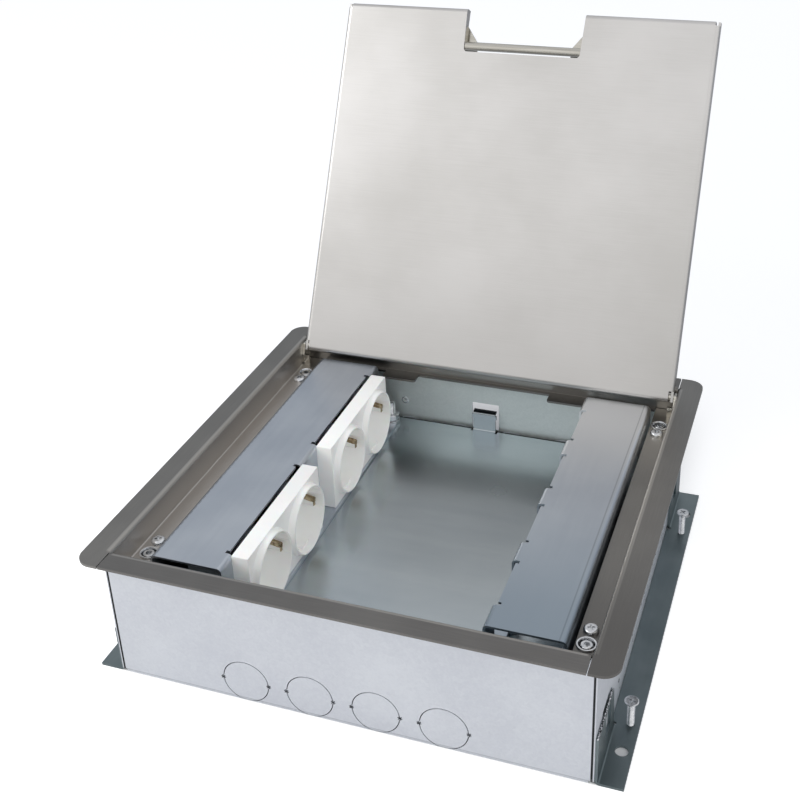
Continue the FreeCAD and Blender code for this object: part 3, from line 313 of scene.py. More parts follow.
# The sheared rings of the blanks on the side walls carry a painted highlight.
side_wall = in_x.between(box_half.x - 0.6, box_half.x - 0.3)
from_middle = ((axis(tree, "Y") * (1 / KNOCKOUT_PITCH)).fraction() - 0.5) * KNOCKOUT_PITCH
from_centre = distance(from_middle, height - KNOCKOUT_HEIGHT)
within_row = 1 - in_y.between(KNOCKOUT_ROW - 1, KNOCKOUT_ROW)
ring_highlight = line(from_centre, KNOCKOUT_RADIUS + 0.1, 0.7) * side_wall * within_row
sheet_colour = blend_colour(ring_highlight * 0.6, sheet_colour, screen(252, 253, 254))
# Below, the fold carries a painted shade line, and each corner shows as a dark gap between two walls.
sheet_colour = blend_colour(line(height, FOLD_SHADE_Z, 0.5) * 0.3, sheet_colour, screen(120, 124, 130))
end_wall = in_y.between(box_half.y - 0.6, box_half.y - 0.3)
corner_gap = line(in_x, box_half.x - CORNER_GAP_DEPTH, 0.75) * end_wall
feed(shader, "Base Color", blend_colour(corner_gap, sheet_colour, screen(36, 38, 40)))
feed(shader, "Roughness", 0.42 + clouds * 0.12 + flakes * 0.04)
feed(shader, "Normal", bump(tree, clouds * 0.6 + specks * 0.4, 0.03))
dress(["box_tray"], galvanised)


def on_scene(name, data):
    """A new object in the scene, holding a mesh or a curve."""
    thing = bpy.data.objects.new(name, data)
    bpy.context.scene.collection.objects.link(thing)
    return thing


def evaluated(thing):
    """The mesh of an object with its modifiers done; the object itself goes away."""
    graph = bpy.context.evaluated_depsgraph_get()
    mesh = bpy.data.meshes.new_from_object(thing.evaluated_get(graph))
    bpy.data.objects.remove(thing)
    return mesh


def merged(name, parts):
    """One mesh from (mesh, matrix) pairs."""
    gathered = bmesh.new()
    for mesh, place in parts:
        copy = mesh.copy()
        copy.transform(place)
        gathered.from_mesh(copy)
        bpy.data.meshes.remove(copy)
    mesh = bpy.data.meshes.new(name)
    gathered.to_mesh(mesh)
    gathered.free()
    return mesh


def piece(name, parts, material, body, stands_for=(), smooth=None):
    """A finished piece from (mesh, matrix) pairs, at the origin, riding on a body.

    With smooth, its shading is smooth but for edges that turn by more than that many degrees."""
    mesh = merged(name, parts)
    mesh.materials.clear()
    mesh.materials.append(material)
    mesh.polygons.foreach_set("material_index", [0] * len(mesh.polygons))
    if smooth:
        mesh.polygons.foreach_set("use_smooth", [True] * len(mesh.polygons))
        mesh.set_sharp_from_angle(angle=math.radians(smooth))
    thing = on_scene(name, mesh)
    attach(thing, body)
    if stands_for:
        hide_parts(*stands_for)


def at(x, y, z=0):
    """A move to a place in millimetres."""
    return Matrix.Translation(Vector((x, y, z)) * MM)


def turned(degrees, name="Z"):
    """A turn about an axis through the origin."""
    return Matrix.Rotation(math.radians(degrees), 4, name)


STILL = Matrix()


def geometry_group(name, inputs):
    """A new Geometry Nodes group with named inputs; returns it with its input wires by name."""
    group = bpy.data.node_groups.new(name, "GeometryNodeTree")
    for label, kind in inputs.items():
        group.interface.new_socket(label, in_out="INPUT", socket_type=kind)
    group.interface.new_socket("Geometry", in_out="OUTPUT", socket_type="NodeSocketGeometry")
    entry = group.nodes.new("NodeGroupInput")
    return group, {label: Wire(entry.outputs[label]) for label in inputs}


def close_group(group, shape, material):
    """Ends a group: instances made real, material set, geometry out."""
    real = Wire.node(group, "GeometryNodeRealizeInstances", {}, {"Geometry": shape})
    dressed = Wire.node(group, "GeometryNodeSetMaterial", {}, {"Geometry": real, "Material": material})
    leave = group.nodes.new("NodeGroupOutput")
    group.links.new(dressed.socket, leave.inputs["Geometry"])


def grown(group, values):
    """The mesh that a geometry group makes with these input values."""
    seed = on_scene("seed", bpy.data.meshes.new("seed"))
    grower = seed.modifiers.new("grower", "NODES")
    grower.node_group = group
    for item in group.interface.items_tree:
        if item.in_out == "INPUT" and item.name in values:
            grower[item.identifier] = values[item.name]
    return evaluated(seed)


row_group, row = geometry_group("row_of_pieces", {"Piece": "NodeSocketObject", "Count": "NodeSocketInt",
                                                  "Start": "NodeSocketVector", "Step": "NodeSocketVector",
                                                  "Material": "NodeSocketMaterial"})
row_points = Wire.node(row_group, "GeometryNodeMeshLine", {},
                       {"Count": row["Count"], "Start Location": row["Start"], "Offset": row["Step"]})
row_piece = Wire.node(row_group, "GeometryNodeObjectInfo", {}, {"Object": row["Piece"]}, output="Geometry")
row_copies = Wire.node(row_group, "GeometryNodeInstanceOnPoints", {},
                       {"Points": row_points, "Instance": row_piece})
close_group(row_group, row_copies, row["Material"])


def bar_mesh(name, low, high):
    """A plain block between two corners, in millimetres."""
    (x0, y0, z0), (x1, y1, z1) = Vector(low) * MM, Vector(high) * MM
    mesh = bpy.data.meshes.new(name)
    points = [(x, y, z) for x in (x0, x1) for y in (y0, y1) for z in (z0, z1)]
    faces = [(0, 1, 3, 2), (4, 6, 7, 5), (0, 4, 5, 1), (2, 3, 7, 6), (0, 2, 6, 4), (1, 5, 7, 3)]
    mesh.from_pydata(points, [], faces)
    return mesh


NIP_HALF_SIZE = 1.3
NIP_HALF_WIDTH = 0.275
NIP_RELIEF = 0.12
NIP_ANGLES = (18, 72, 138)
oxide, shader = finish("sheared_zinc_edge", {"Metallic": 0.6})
tree = oxide.node_tree
scale = noise(tree, 1500.0, detail=3.0)
feed(shader, "Base Color", blend_colour(scale.between(0.35, 0.65), screen(52, 54, 58), screen(120, 124, 130)))
feed(shader, "Roughness", 0.5 + scale * 0.2)
nip_bar = bar_mesh("nip_bar", (-NIP_HALF_SIZE, -NIP_RELIEF, -NIP_HALF_WIDTH),
                   (NIP_HALF_SIZE, NIP_RELIEF, NIP_HALF_WIDTH))
nip = on_scene("nip", merged("nip", [(nip_bar, turned(angle, "Y")) for angle in NIP_ANGLES]))
row_start = (1 - KNOCKOUT_COUNT) / 2 * KNOCKOUT_PITCH
wall_nips = []
for turn, reach in ((0, box_half.y), (90, box_half.x), (180, box_half.y), (270, box_half.x)):
    for end in (-1, 1):
        start = Vector((row_start + end * KNOCKOUT_RADIUS, -reach, KNOCKOUT_HEIGHT))
        marks = grown(row_group, {"Piece": nip, "Count": KNOCKOUT_COUNT, "Start": start * MM,
                                  "Step": Vector((KNOCKOUT_PITCH * MM, 0, 0)), "Material": oxide})
        wall_nips.append((marks, turned(turn)))
bpy.data.objects.remove(nip)
piece("knockout_nips", wall_nips, oxide, "box")


def lathe(name, profile, steps=48):
    """A mesh turned about Z from (radius, height) points in millimetres."""
    points = []
    faces = []
    for radius, height in profile:
        for step in range(steps):
            angle = 2 * math.pi * step / steps
            points.append((radius * MM * math.cos(angle), radius * MM * math.sin(angle), height * MM))
    for ring in range(len(profile) - 1):
        for step in range(steps):
            after = (step + 1) % steps
            faces.append((ring * steps + step, ring * steps + after, (ring + 1) * steps + after,
                          (ring + 1) * steps + step))
    mesh = bpy.data.meshes.new(name)
    mesh.from_pydata(points, [], faces)
    welded = bmesh.new()
    welded.from_mesh(mesh)
    bmesh.ops.remove_doubles(welded, verts=welded.verts, dist=0.001 * MM)
    welded.to_mesh(mesh)
    welded.free()
    return mesh


# One spot weld shows on the inner face of the rear wall.
WELD_SPOT_X = -58.1
WELD_SPOT_Z = 40.0
spot_sheet, shader = finish("spot_weld_zinc", {"Metallic": 1.0})
tree = spot_sheet.node_tree
ripple = noise(tree, 900.0, detail=2.0)
feed(shader, "Base Color", blend_colour(ripple.between(0.3, 0.7), screen(196, 204, 206),
                                        screen(236, 240, 240)))
feed(shader, "Roughness", 0.16 + ripple * 0.1)
spot = lathe("spot", [(2.6, 0), (2.3, 0.25), (1.6, 0.32), (1.1, 0.18), (0, 0.12)])
spot_place = at(WELD_SPOT_X, box_half.y - BOX_SHEET, WELD_SPOT_Z) @ turned(90, "X")
piece("rear_wall_spot_weld", [(spot, spot_place)], spot_sheet, "box", smooth=35)


# ---- Side brackets ----
# Galvanised angles, folded from strip, each welded to the box along the tops of its two ears.
# They are a shade darker and greener than the box.
bracket_steel, shader = finish("galvanised_bracket_sheet", {"Metallic": 1.0})
tree = bracket_steel.node_tree
clouds = noise(tree, 34.0, detail=4.0)
streaks = noise(tree, 60.0, stretch=(4, 0.6, 1), detail=2.0)
tone = (clouds * 0.8 + streaks * 0.2).between(0.25, 0.75)
feed(shader, "Base Color", blend_colour(tone, screen(118, 129, 132), screen(134, 144, 146)))
feed(shader, "Roughness", 0.34 + clouds * 0.12)
feed(shader, "Normal", bump(tree, streaks, 0.01))
dress(["side_bracket_left", "side_bracket_right", "corner_supports"], bracket_steel)

EAR_EDGE_X = 132.1
EAR_END_Y = 125.2
EAR_LENGTH = 34.6
EAR_TOP = extent("side_bracket_left")[1].z
BEAD_COUNT = 56
BEAD_RADIUS = 0.65
weld, shader = finish("weld_bead_slag", {"Metallic": 1.0})
tree = weld.node_tree
crust = noise(tree, 1100.0, detail=2.0)
feed(shader, "Base Color", blend_colour(crust.between(0.42, 0.58), screen(24, 25, 27), screen(214, 216, 220)))
feed(shader, "Roughness", 0.3 + crust * 0.2)
bead_group, bead = geometry_group("weld_bead", {"Start": "NodeSocketVector", "Step": "NodeSocketVector",
                                                "Count": "NodeSocketInt", "Radius": "NodeSocketFloat",
                                                "Material": "NodeSocketMaterial"})
bead_points = Wire.node(bead_group, "GeometryNodeMeshLine", {},
                        {"Count": bead["Count"], "Start Location": bead["Start"], "Offset": bead["Step"]})
drop = Wire.node(bead_group, "GeometryNodeMeshIcoSphere", {}, {"Radius": bead["Radius"], "Subdivisions": 2})
drop_size = Wire.node(bead_group, "FunctionNodeRandomValue", {"data_type": "FLOAT"},
                      {"Min": 0.6, "Max": 1.15, "Seed": 7}, output=1)
drops = Wire.node(bead_group, "GeometryNodeInstanceOnPoints", {},
                  {"Points": bead_points, "Instance": drop, "Scale": drop_size})
close_group(bead_group, drops, bead["Material"])
beads = []
for x_side in (-1, 1):
    for y_side in (-1, 1):
        start = Vector((x_side * EAR_EDGE_X, y_side * EAR_END_Y, EAR_TOP))
        step = Vector((0, -y_side * EAR_LENGTH / (BEAD_COUNT - 1), 0))
        mesh = grown(bead_group, {"Start": start * MM, "Step": step * MM, "Count": BEAD_COUNT,
                                  "Radius": BEAD_RADIUS * MM, "Material": weld})
        beads.append((mesh, STILL))
piece("ear_weld_beads", beads, weld, "box", smooth=80)


# ---- Levelling screws ----
# Four M4 countersunk cross-recess screws through the brackets, bright zinc, with the thread
# rolled along the whole shank.
zinc, shader = finish("bright_zinc_plating", {"Metallic": 1.0})
tree = zinc.node_tree
film = noise(tree, 500.0, detail=3.0)
feed(shader, "Base Color", blend_colour(film.between(0.3, 0.7), screen(206, 208, 211), screen(236, 237, 238)))
feed(shader, "Roughness", 0.16 + film * 0.14)
feed(shader, "Normal", bump(tree, film, 0.01))

RIDGE_SHARE = 0.46           # a thread ridge's height, as a share of its pitch
thread_group, thread = geometry_group("screw_thread", {"Core Radius": "NodeSocketFloat",
                                                       "Pitch": "NodeSocketFloat", "Turns": "NodeSocketFloat",
                                                       "Material": "NodeSocketMaterial"})
ridge_height = thread["Pitch"] * thread["Turns"]
spiral = Wire.node(thread_group, "GeometryNodeCurveSpiral", {},
                   {"Resolution": 24, "Rotations": thread["Turns"], "Start Radius": thread["Core Radius"],
                    "End Radius": thread["Core Radius"], "Height": ridge_height})
upright_spiral = Wire.node(thread_group, "GeometryNodeSetCurveNormal", {"mode": "Z_UP"}, {"Curve": spiral})
ridge_profile = Wire.node(thread_group, "GeometryNodeCurvePrimitiveCircle", {"mode": "RADIUS"},
                          {"Resolution": 4, "Radius": thread["Pitch"] * RIDGE_SHARE})
ridge = Wire.node(thread_group, "GeometryNodeCurveToMesh", {},
                  {"Curve": upright_spiral, "Profile Curve": ridge_profile, "Fill Caps": True})
core = Wire.node(thread_group, "GeometryNodeMeshCylinder", {},
                 {"Vertices": 32, "Radius": thread["Core Radius"], "Depth": ridge_height + thread["Pitch"]})
core_middle = Wire.node(thread_group, "ShaderNodeCombineXYZ", {}, {"Z": ridge_height * 0.5})
raised_core = Wire.node(thread_group, "GeometryNodeTransform", {},
                        {"Geometry": core, "Translation": core_middle})
joined = Wire.node(thread_group, "GeometryNodeJoinGeometry", {}, {"Geometry": raised_core})
thread_group.links.new(ridge.socket, joined.socket.node.inputs["Geometry"])
close_group(thread_group, joined, thread["Material"])


def threaded_shank(radius, pitch, bottom, top):
    """A shank of an outer radius with its thread, between two heights in millimetres."""
    mesh = grown(thread_group, {"Core Radius": (radius - pitch * RIDGE_SHARE) * MM, "Pitch": pitch * MM,
                                "Turns": (top - bottom) / pitch - 1, "Material": zinc})
    mesh.transform(at(0, 0, bottom + pitch / 2))
    return mesh


def circle_points(radius, centre=(0, 0), steps=48):
    """Outline of a circle, or of a regular polygon with so many steps."""
    angles = [2 * math.pi * step / steps for step in range(steps)]
    return [(centre[0] + radius * math.cos(angle), centre[1] + radius * math.sin(angle)) for angle in angles]


def plate(name, outlines, bottom, top):
    """A flat plate between two heights; the outlines after the first are holes, in millimetres."""
    curve = bpy.data.curves.new(name, "CURVE")
    curve.dimensions = "2D"
    curve.fill_mode = "BOTH"
    curve.extrude = (top - bottom) / 2 * MM
    for outline in outlines:
        spline = curve.splines.new("POLY")
        spline.points.add(len(outline) - 1)
        for point, (u, v) in zip(spline.points, outline):
            point.co = (u * MM, v * MM, 0, 1)
        spline.use_cyclic_u = True
    mesh = evaluated(on_scene(name, curve))
    mesh.transform(at(0, 0, (top + bottom) / 2))
    return mesh


def cross_points(width, length):
    """Outline of a cross recess."""
    w, l = width / 2, length / 2
    return [(w, w), (w, l), (-w, l), (-w, w), (-l, w), (-l, -w),
            (-w, -w), (-w, -l), (w, -l), (w, -w), (l, -w), (l, w)]


RECESS_FLOOR = 0.2


def crossed_top(radius, top, depth, width, length):
    """The top of a screw head: a disc with a cross recess and the recess's floor."""
    bottom = top - depth
    rim = plate("recess_rim", [circle_points(radius), cross_points(width, length)], bottom, top)
    floor = plate("recess_floor", [circle_points(radius * 0.98)], bottom - RECESS_FLOOR, bottom)
    return [(rim, STILL), (floor, STILL)]


SCREW_FLAT_RADIUS = 3.0
SCREW_NECK = 2.1             # thread's end below the head's top
head_profile = [(1.7, -2.4), (3.55, -0.55), (3.75, -0.3), (3.7, -0.1), (3.45, 0), (SCREW_FLAT_RADIUS, 0)]
for corner_name in ("fl", "fr", "rl", "rr"):
    body = "levelling_screw_" + corner_name
    low, high = extent(body)
    middle = (low + high) / 2
    head = lathe("countersunk_head", [(radius, high.z + height) for radius, height in head_profile])
    screw_parts = [(threaded_shank(2.0, 0.7, low.z, high.z - SCREW_NECK), STILL), (head, STILL)]
    screw_parts += crossed_top(SCREW_FLAT_RADIUS, high.z, 1.3, 1.1, 4.0)
    turn = at(middle.x, middle.y) @ Matrix.Rotation(middle.x + middle.y, 4, "Z")
    piece("threaded_" + body, [(mesh, turn) for mesh, _ in screw_parts], zinc, body,
          [body], smooth=40)


# ---- Frame ----
# Four strips of brushed stainless steel, folded and butted at the corners; the brush marks run
# along each strip, and each end strip shows a fine seam where it meets a side strip.
SEAM_X = 128.0
FOLD_X = 129.2
FOLD_Y = 124.7
FLANGE_UNDERSIDE = 79.0
LEDGE_TOP = 64.6
STRIP_SHADE_SPAN = (-115, -10)
LEDGE_HIGHLIGHT_SPAN = (35, 105)
SIDE_TONES = (screen(134, 132, 129), screen(146, 144, 140))
END_TONES = (screen(118, 116, 114), screen(132, 130, 127))


def brushed(name, stretch, tones, roughness, fold, fold_end, paint):
    """Brushed stainless steel with a painted highlight along its fold, up to an end of it.

    stretch draws the brush marks out, fold is (coordinate, place) and fold_end the other
    coordinate and the fold's end.  paint takes the tree and colour and gives the last colour."""
    material, shader = finish(name, {"Metallic": 1.0})
    tree = material.node_tree
    marks = noise(tree, 2600.0, stretch=stretch, detail=2.0)
    clouds = noise(tree, 18.0, detail=3.0)
    grain = blend_colour((marks * 0.35 + clouds * 0.65).between(0.3, 0.7), *tones)
    along_fold = 1 - axis(tree, fold_end[0]).size().between(fold_end[1] - 2, fold_end[1])
    bend_highlight = line(axis(tree, fold[0]).size(), fold[1], 1.9) * along_fold
    highlighted = blend_colour(bend_highlight * 0.5, grain, screen(200, 197, 191))
    feed(shader, "Base Color", paint(tree, highlighted))
    feed(shader, "Roughness", roughness + marks * 0.1 + clouds * 0.08)
    feed(shader, "Normal", bump(tree, marks, 0.012))
    return material


def painted_lit_web(tree, colour):
    """The left strip's web and ledge are painted lighter, as the side that faces the light."""
    web = 1 - axis(tree, "Z").between(FLANGE_UNDERSIDE - 0.8, FLANGE_UNDERSIDE + 0.6)
    return blend_colour(web * 0.45, colour, screen(236, 230, 224))


def front_shade_rear_highlight(tree, colour):
    """Painted shade darkens the right strip towards the front; a painted highlight brightens its rear ledge.
    """
    backwards = axis(tree, "Y")
    near_front = 1 - backwards.between(*STRIP_SHADE_SPAN)
    front_shaded = blend_colour(near_front * 0.7, colour, screen(96, 94, 92))
    on_ledge = 1 - axis(tree, "Z").between(LEDGE_TOP + 0.2, LEDGE_TOP + 1.9)
    return blend_colour(backwards.between(*LEDGE_HIGHLIGHT_SPAN) * on_ledge * 0.6, front_shaded, screen(206, 200, 190))


def seam(tree, colour):
    """A dark line where an end strip meets a side strip."""
    return blend_colour(line(axis(tree, "X").size(), SEAM_X, 0.35) * 0.8, colour, screen(40, 38, 36))


MARKS_ALONG_X = (0.02, 1, 1)
MARKS_ALONG_Y = (1, 0.02, 1)
dress(["frame_left"], brushed("brushed_frame_left", MARKS_ALONG_Y, SIDE_TONES, 0.28, ("X", FOLD_X),
                              ("Y", FOLD_Y), painted_lit_web))
dress(["frame_right"], brushed("brushed_frame_right", MARKS_ALONG_Y, SIDE_TONES, 0.24, ("X", FOLD_X),
                               ("Y", FOLD_Y), front_shade_rear_highlight))
dress(["frame_front", "frame_rear"], brushed("brushed_frame_ends", MARKS_ALONG_X, END_TONES, 0.24,
                                             ("Y", FOLD_Y), ("X", SEAM_X - 1), seam))


# ---- Floor plate ----
# Bright galvanised sheet on two pairs of folded legs; rolled smooth, so that it mirrors the
# sockets and walls softly.
plate_end = -extent("floor_plate")[0].y
floor_zinc, shader = finish("galvanised_floor_sheet", {"Metallic": 1.0})
tree = floor_zinc.node_tree
clouds = noise(tree, 14.0, detail=4.0)
rolling = noise(tree, 90.0, stretch=(0.15, 1, 1), detail=3.0)
tone = (clouds * 0.6 + rolling * 0.4).between(0.3, 0.7)
sheet_colour = blend_colour(tone, screen(178, 187, 192), screen(192, 200, 204))
# The plate's rear edge is painted nearly black, as painted shade in the gap to the rear wall.
rear_edge = axis(tree, "Y").between(plate_end - 1.2, plate_end - 0.7)
rear_gap_shade = rear_edge * axis(tree, "Z").between(PLATE_EDGE_Z, PLATE_EDGE_Z + 0.9)
feed(shader, "Base Color", blend_colour(rear_gap_shade, sheet_colour, screen(22, 26, 28)))
feed(shader, "Roughness", 0.16 + clouds * 0.16)
feed(shader, "Normal", bump(tree, rolling, 0.03))
dress(["floor_plate"], floor_zinc)


# ---- Carriers ----
# Inverted galvanised channels that carry the sockets and data modules, screwed to the floor
# plate through hidden feet.  A row of short slits along the left one's outer edge guides its
# fold, and a painted shade line follows the right one's outer crease.  The right one is painted
# darker towards the front, as shade, and lighter towards the rear, as a painted reflection.
SLIT_X = 110.6
SLIT_PITCH = 5.0
CREASE_X = 109.2
CARRIER_SHADE_SPAN = (-115, 25)
CARRIER_SHEEN_SPAN = (5, 95)
carrier_zinc, shader = finish("galvanised_carrier_sheet", {"Metallic": 1.0})
tree = carrier_zinc.node_tree
clouds = noise(tree, 24.0, detail=5.0)
rolling = noise(tree, 240.0, stretch=(1, 0.08, 1), detail=3.0)
tone = (clouds * 0.7 + rolling * 0.3).between(0.3, 0.7)
sheet_colour = blend_colour(tone, screen(190, 197, 206), screen(204, 210, 217))
right_one = axis(tree, "X").between(0, 10)
backwards = axis(tree, "Y")
# Painted shade darkens the right one towards the front, and a painted reflection lightens its rear.
carrier_front_shade = right_one * (1 - backwards.between(*CARRIER_SHADE_SPAN))
sheet_colour = blend_colour(carrier_front_shade * 0.9, sheet_colour, screen(152, 165, 176))
carrier_rear_sheen = right_one * backwards.between(*CARRIER_SHEEN_SPAN)
sheet_colour = blend_colour(carrier_rear_sheen * 0.9, sheet_colour, screen(250, 251, 251))
dash = (backwards * (1 / SLIT_PITCH)).fraction().between(0.28, 0.4)
slits = line(axis(tree, "X"), -SLIT_X, 0.4) * dash
# A painted shade line along the right carrier's outer crease.
crease_shade = line(axis(tree, "X"), CREASE_X, 0.5)
feed(shader, "Base Color", blend_colour(slits * 0.35 + crease_shade * 0.3, sheet_colour, screen(84, 88, 94)))
feed(shader, "Roughness", 0.24 + clouds * 0.14)
feed(shader, "Normal", bump(tree, rolling, 0.02))
dress(["carrier_left", "carrier_right"], carrier_zinc)


# ---- Ledge fasteners ----
# Flanged inserts with a threaded spindle sunk in them, and a pan-head clamp screw beside each.
# Both stand in the ledge and are bright zinc.
INSERT_X = 120.5
INSERT_Y = 102.0
CLAMP_Y = 91.8
FLOOR_TOP = extent("carrier_left")[0].z
HOLLOW_RADIUS = 2.75
PAN_FLAT_RADIUS = 2.4


def hexagon_points(flats):
    """Outline of a hexagon, given the distance across its flats."""
    return circle_points(flats / math.sqrt(3), steps=6)


def at_corners(parts, y):
    """The same fastener at the four corners of the ledge, each turned a little differently."""
    placed = []
    for x_side in (-1, 1):
        for y_side in (-1, 1):
            turn = Matrix.Rotation(x_side * 0.7 + y_side * 1.9, 4, "Z")
            placed += [(mesh, at(x_side * INSERT_X, y_side * y) @ turn) for mesh in parts]
    return placed


insert_foot, insert_top = extent("ledge_inserts")[0].z, extent("ledge_inserts")[1].z
insert_profile = [(3.9, insert_foot), (3.9, LEDGE_TOP), (5.05, LEDGE_TOP), (5.2, LEDGE_TOP + 0.2),
                  (5.2, insert_top - 0.3), (5.0, insert_top - 0.05), (4.5, insert_top),
                  (4.2, insert_top - 0.1), (3.85, insert_top - 0.7), (3.8, insert_foot)]
piece("ledge_inserts_turned", at_corners([lathe("insert", insert_profile)], INSERT_Y), zinc, "box",
      ["ledge_inserts"], smooth=40)

spindle_top = extent("ledge_spindles")[1].z - 0.05
spindle_neck = spindle_top - 3.15
hexagon_hollow = [circle_points(HOLLOW_RADIUS), hexagon_points(3.2)]
spindle_collar = [(HOLLOW_RADIUS, spindle_top), (3.0, spindle_top - 0.25), (3.0, spindle_neck)]
spindle_parts = [threaded_shank(3.0, 1.0, FLOOR_TOP, spindle_neck),
                 plate("spindle_top", hexagon_hollow, spindle_neck - 0.3, spindle_top),
                 lathe("spindle_collar", spindle_collar)]
piece("ledge_spindles_threaded", at_corners(spindle_parts, INSERT_Y), zinc, "box",
      ["ledge_spindles"], smooth=40)

clamp_foot, clamp_top = extent("clamp_screws")[0].z, extent("clamp_screws")[1].z
pan_head = [(4.0, LEDGE_TOP), (4.0, LEDGE_TOP + 1.1), (3.85, clamp_top - 0.9), (3.45, clamp_top - 0.35),
            (2.9, clamp_top - 0.05), (PAN_FLAT_RADIUS, clamp_top)]
clamp_parts = [threaded_shank(2.0, 0.7, clamp_foot, LEDGE_TOP + 0.2), lathe("pan_head", pan_head)]
clamp_parts += [mesh for mesh, _ in crossed_top(PAN_FLAT_RADIUS, clamp_top, 1.5, 1.0, 3.8)]
piece("clamp_screws_threaded", at_corners(clamp_parts, CLAMP_Y), zinc, "box",
      ["clamp_screws"], smooth=40)
dress(["carrier_screws", "terminal_screws"], zinc)


# ---- Earth stud ----
# M6 stud pressed into the floor plate, with a chamfered hexagon nut on a washer.
# All three are bright zinc.
STUD_X = -65.5
STUD_Y = 117.3
WASHER_THICKNESS = 1.2
NUT_FLATS = 10.0
NUT_BORE = 3.05
NUT_CHAMFER = 0.5
at_stud = at(STUD_X, STUD_Y)
stud_tip = extent("earth_stud")[1].z
thread_end = stud_tip - 0.6
tip_profile = [(2.54, thread_end - 0.1), (2.5, stud_tip - 0.3), (2.0, stud_tip), (0, stud_tip)]
stud_parts = [(threaded_shank(3.0, 1.0, FLOOR_TOP - 1.2, thread_end), at_stud),
              (lathe("stud_tip", tip_profile), at_stud)]
piece("earth_stud_threaded", stud_parts, zinc, "box", ["earth_stud"], smooth=40)

nut_bottom = FLOOR_TOP + WASHER_THICKNESS
nut_top = extent("earth_nut")[1].z
nut_body = plate("nut", [hexagon_points(NUT_FLATS), circle_points(NUT_BORE)], nut_bottom + NUT_CHAMFER,
                 nut_top - NUT_CHAMFER)
nut_turn = at_stud @ Matrix.Rotation(0.4, 4, "Z")
nut_parts = [(nut_body, nut_turn)]
for end, inwards in ((nut_bottom, 1), (nut_top, -1)):
    chamfer = [(NUT_BORE, end), (NUT_FLATS * 0.49, end), (NUT_FLATS * 0.545, end + inwards * NUT_CHAMFER)]
    nut_parts.append((lathe("nut_chamfer", chamfer), nut_turn))
washer_profile = [(3.1, FLOOR_TOP), (5.2, FLOOR_TOP), (5.3, FLOOR_TOP + 0.1), (5.3, nut_bottom - 0.1),
                  (5.2, nut_bottom), (3.1, nut_bottom), (3.1, FLOOR_TOP)]
nut_parts.append((lathe("washer", washer_profile), at_stud))
piece("earth_nut_chamfered", nut_parts, zinc, "box", ["earth_nut"], smooth=30)


# ---- Socket fronts ----
# Glossy white mouldings, clipped into the left carrier: a block with two wells whose collars
# flare out of its face, a recess for an earth clip on both sides and a guide rail above and
# below.  The cups' outsides are painted dark, as shade under the carrier, and the rest glows
# faintly white, a painted light that lifts its shade.
WELL_PITCH = 45.0
WELL_RADIUS = 19.5
CUP_RADIUS = 20.4
COLLAR_RADIUS = 20.6
BLOCK_REAR = -71.0
BLOCK_FACE = -61.4
CLIP_RECESS = 0.5
CLIP_HALF_ANGLE = 13.0
CLIP_RECESS_TOP = 0.8        # below the rim
RAIL_HEIGHT = 1.2
RAIL_HALF_ANGLE = 14.0
RAIL_TOP = 4.6               # below the rim
block_low, block_high = extent("socket_front_b")
module_y = (block_low.y + block_high.y) / 2
well_z = (block_low.z + block_high.z) / 2
rim_x = block_high.x
well_floor_x = block_low.x
# Painted light: a faint white glow lifts the plastic's shade everywhere but on the cups' outsides.
white, shader = finish("white_socket_plastic", {"Metallic": 0.0, "IOR": 1.5, "Subsurface Weight": 0.15,
                                                "Subsurface Scale": 0.003, "Emission Strength": 0.07})
tree = white.node_tree
skin = noise(tree, 60.0, detail=2.0)
gloss_white = blend_colour(skin.between(0.3, 0.7), screen(248, 248, 246), screen(252, 252, 250))
# The cups' outsides behind the block are painted dark, as shade under the carrier.
from_well = (axis(tree, "Y").size() - module_y).size() - WELL_PITCH / 2
outside_cup = distance(from_well, axis(tree, "Z") - well_z).between(CUP_RADIUS - 0.3, CUP_RADIUS - 0.15)
behind_block = 1 - axis(tree, "X").between(BLOCK_REAR - 0.15, BLOCK_REAR - 0.02)
cup_back_shade = outside_cup * behind_block
feed(shader, "Base Color", blend_colour(cup_back_shade, gloss_white, screen(50, 52, 58)))
feed(shader, "Emission Color", blend_colour(cup_back_shade, (1.0, 1.0, 0.98, 1.0), BLACK))
feed(shader, "Roughness", 0.18 + skin * 0.08 + cup_back_shade * 0.6)


def well_radius(angle, depth):
    """Inner radius of a well at an angle from +Y and a depth below its rim."""
    from_side = min(angle % 180, 180 - angle % 180)
    from_upright = abs(angle % 180 - 90)
    if from_side < CLIP_HALF_ANGLE and depth > CLIP_RECESS_TOP:
        return WELL_RADIUS + CLIP_RECESS
    if from_upright < RAIL_HALF_ANGLE and depth > RAIL_TOP:
        return WELL_RADIUS - RAIL_HEIGHT
    return WELL_RADIUS


def well_angles():
    """Every fifth degree, and both sides of each step at a recess's or a rail's edge."""
    angles = set(range(0, 360, 5))
    for middle, half in ((0, CLIP_HALF_ANGLE), (180, CLIP_HALF_ANGLE), (90, RAIL_HALF_ANGLE),
                         (270, RAIL_HALF_ANGLE)):
        for edge in (middle - half, middle + half):
            angles |= {(edge - 0.5) % 360, (edge + 0.5) % 360}
    return sorted(angles)


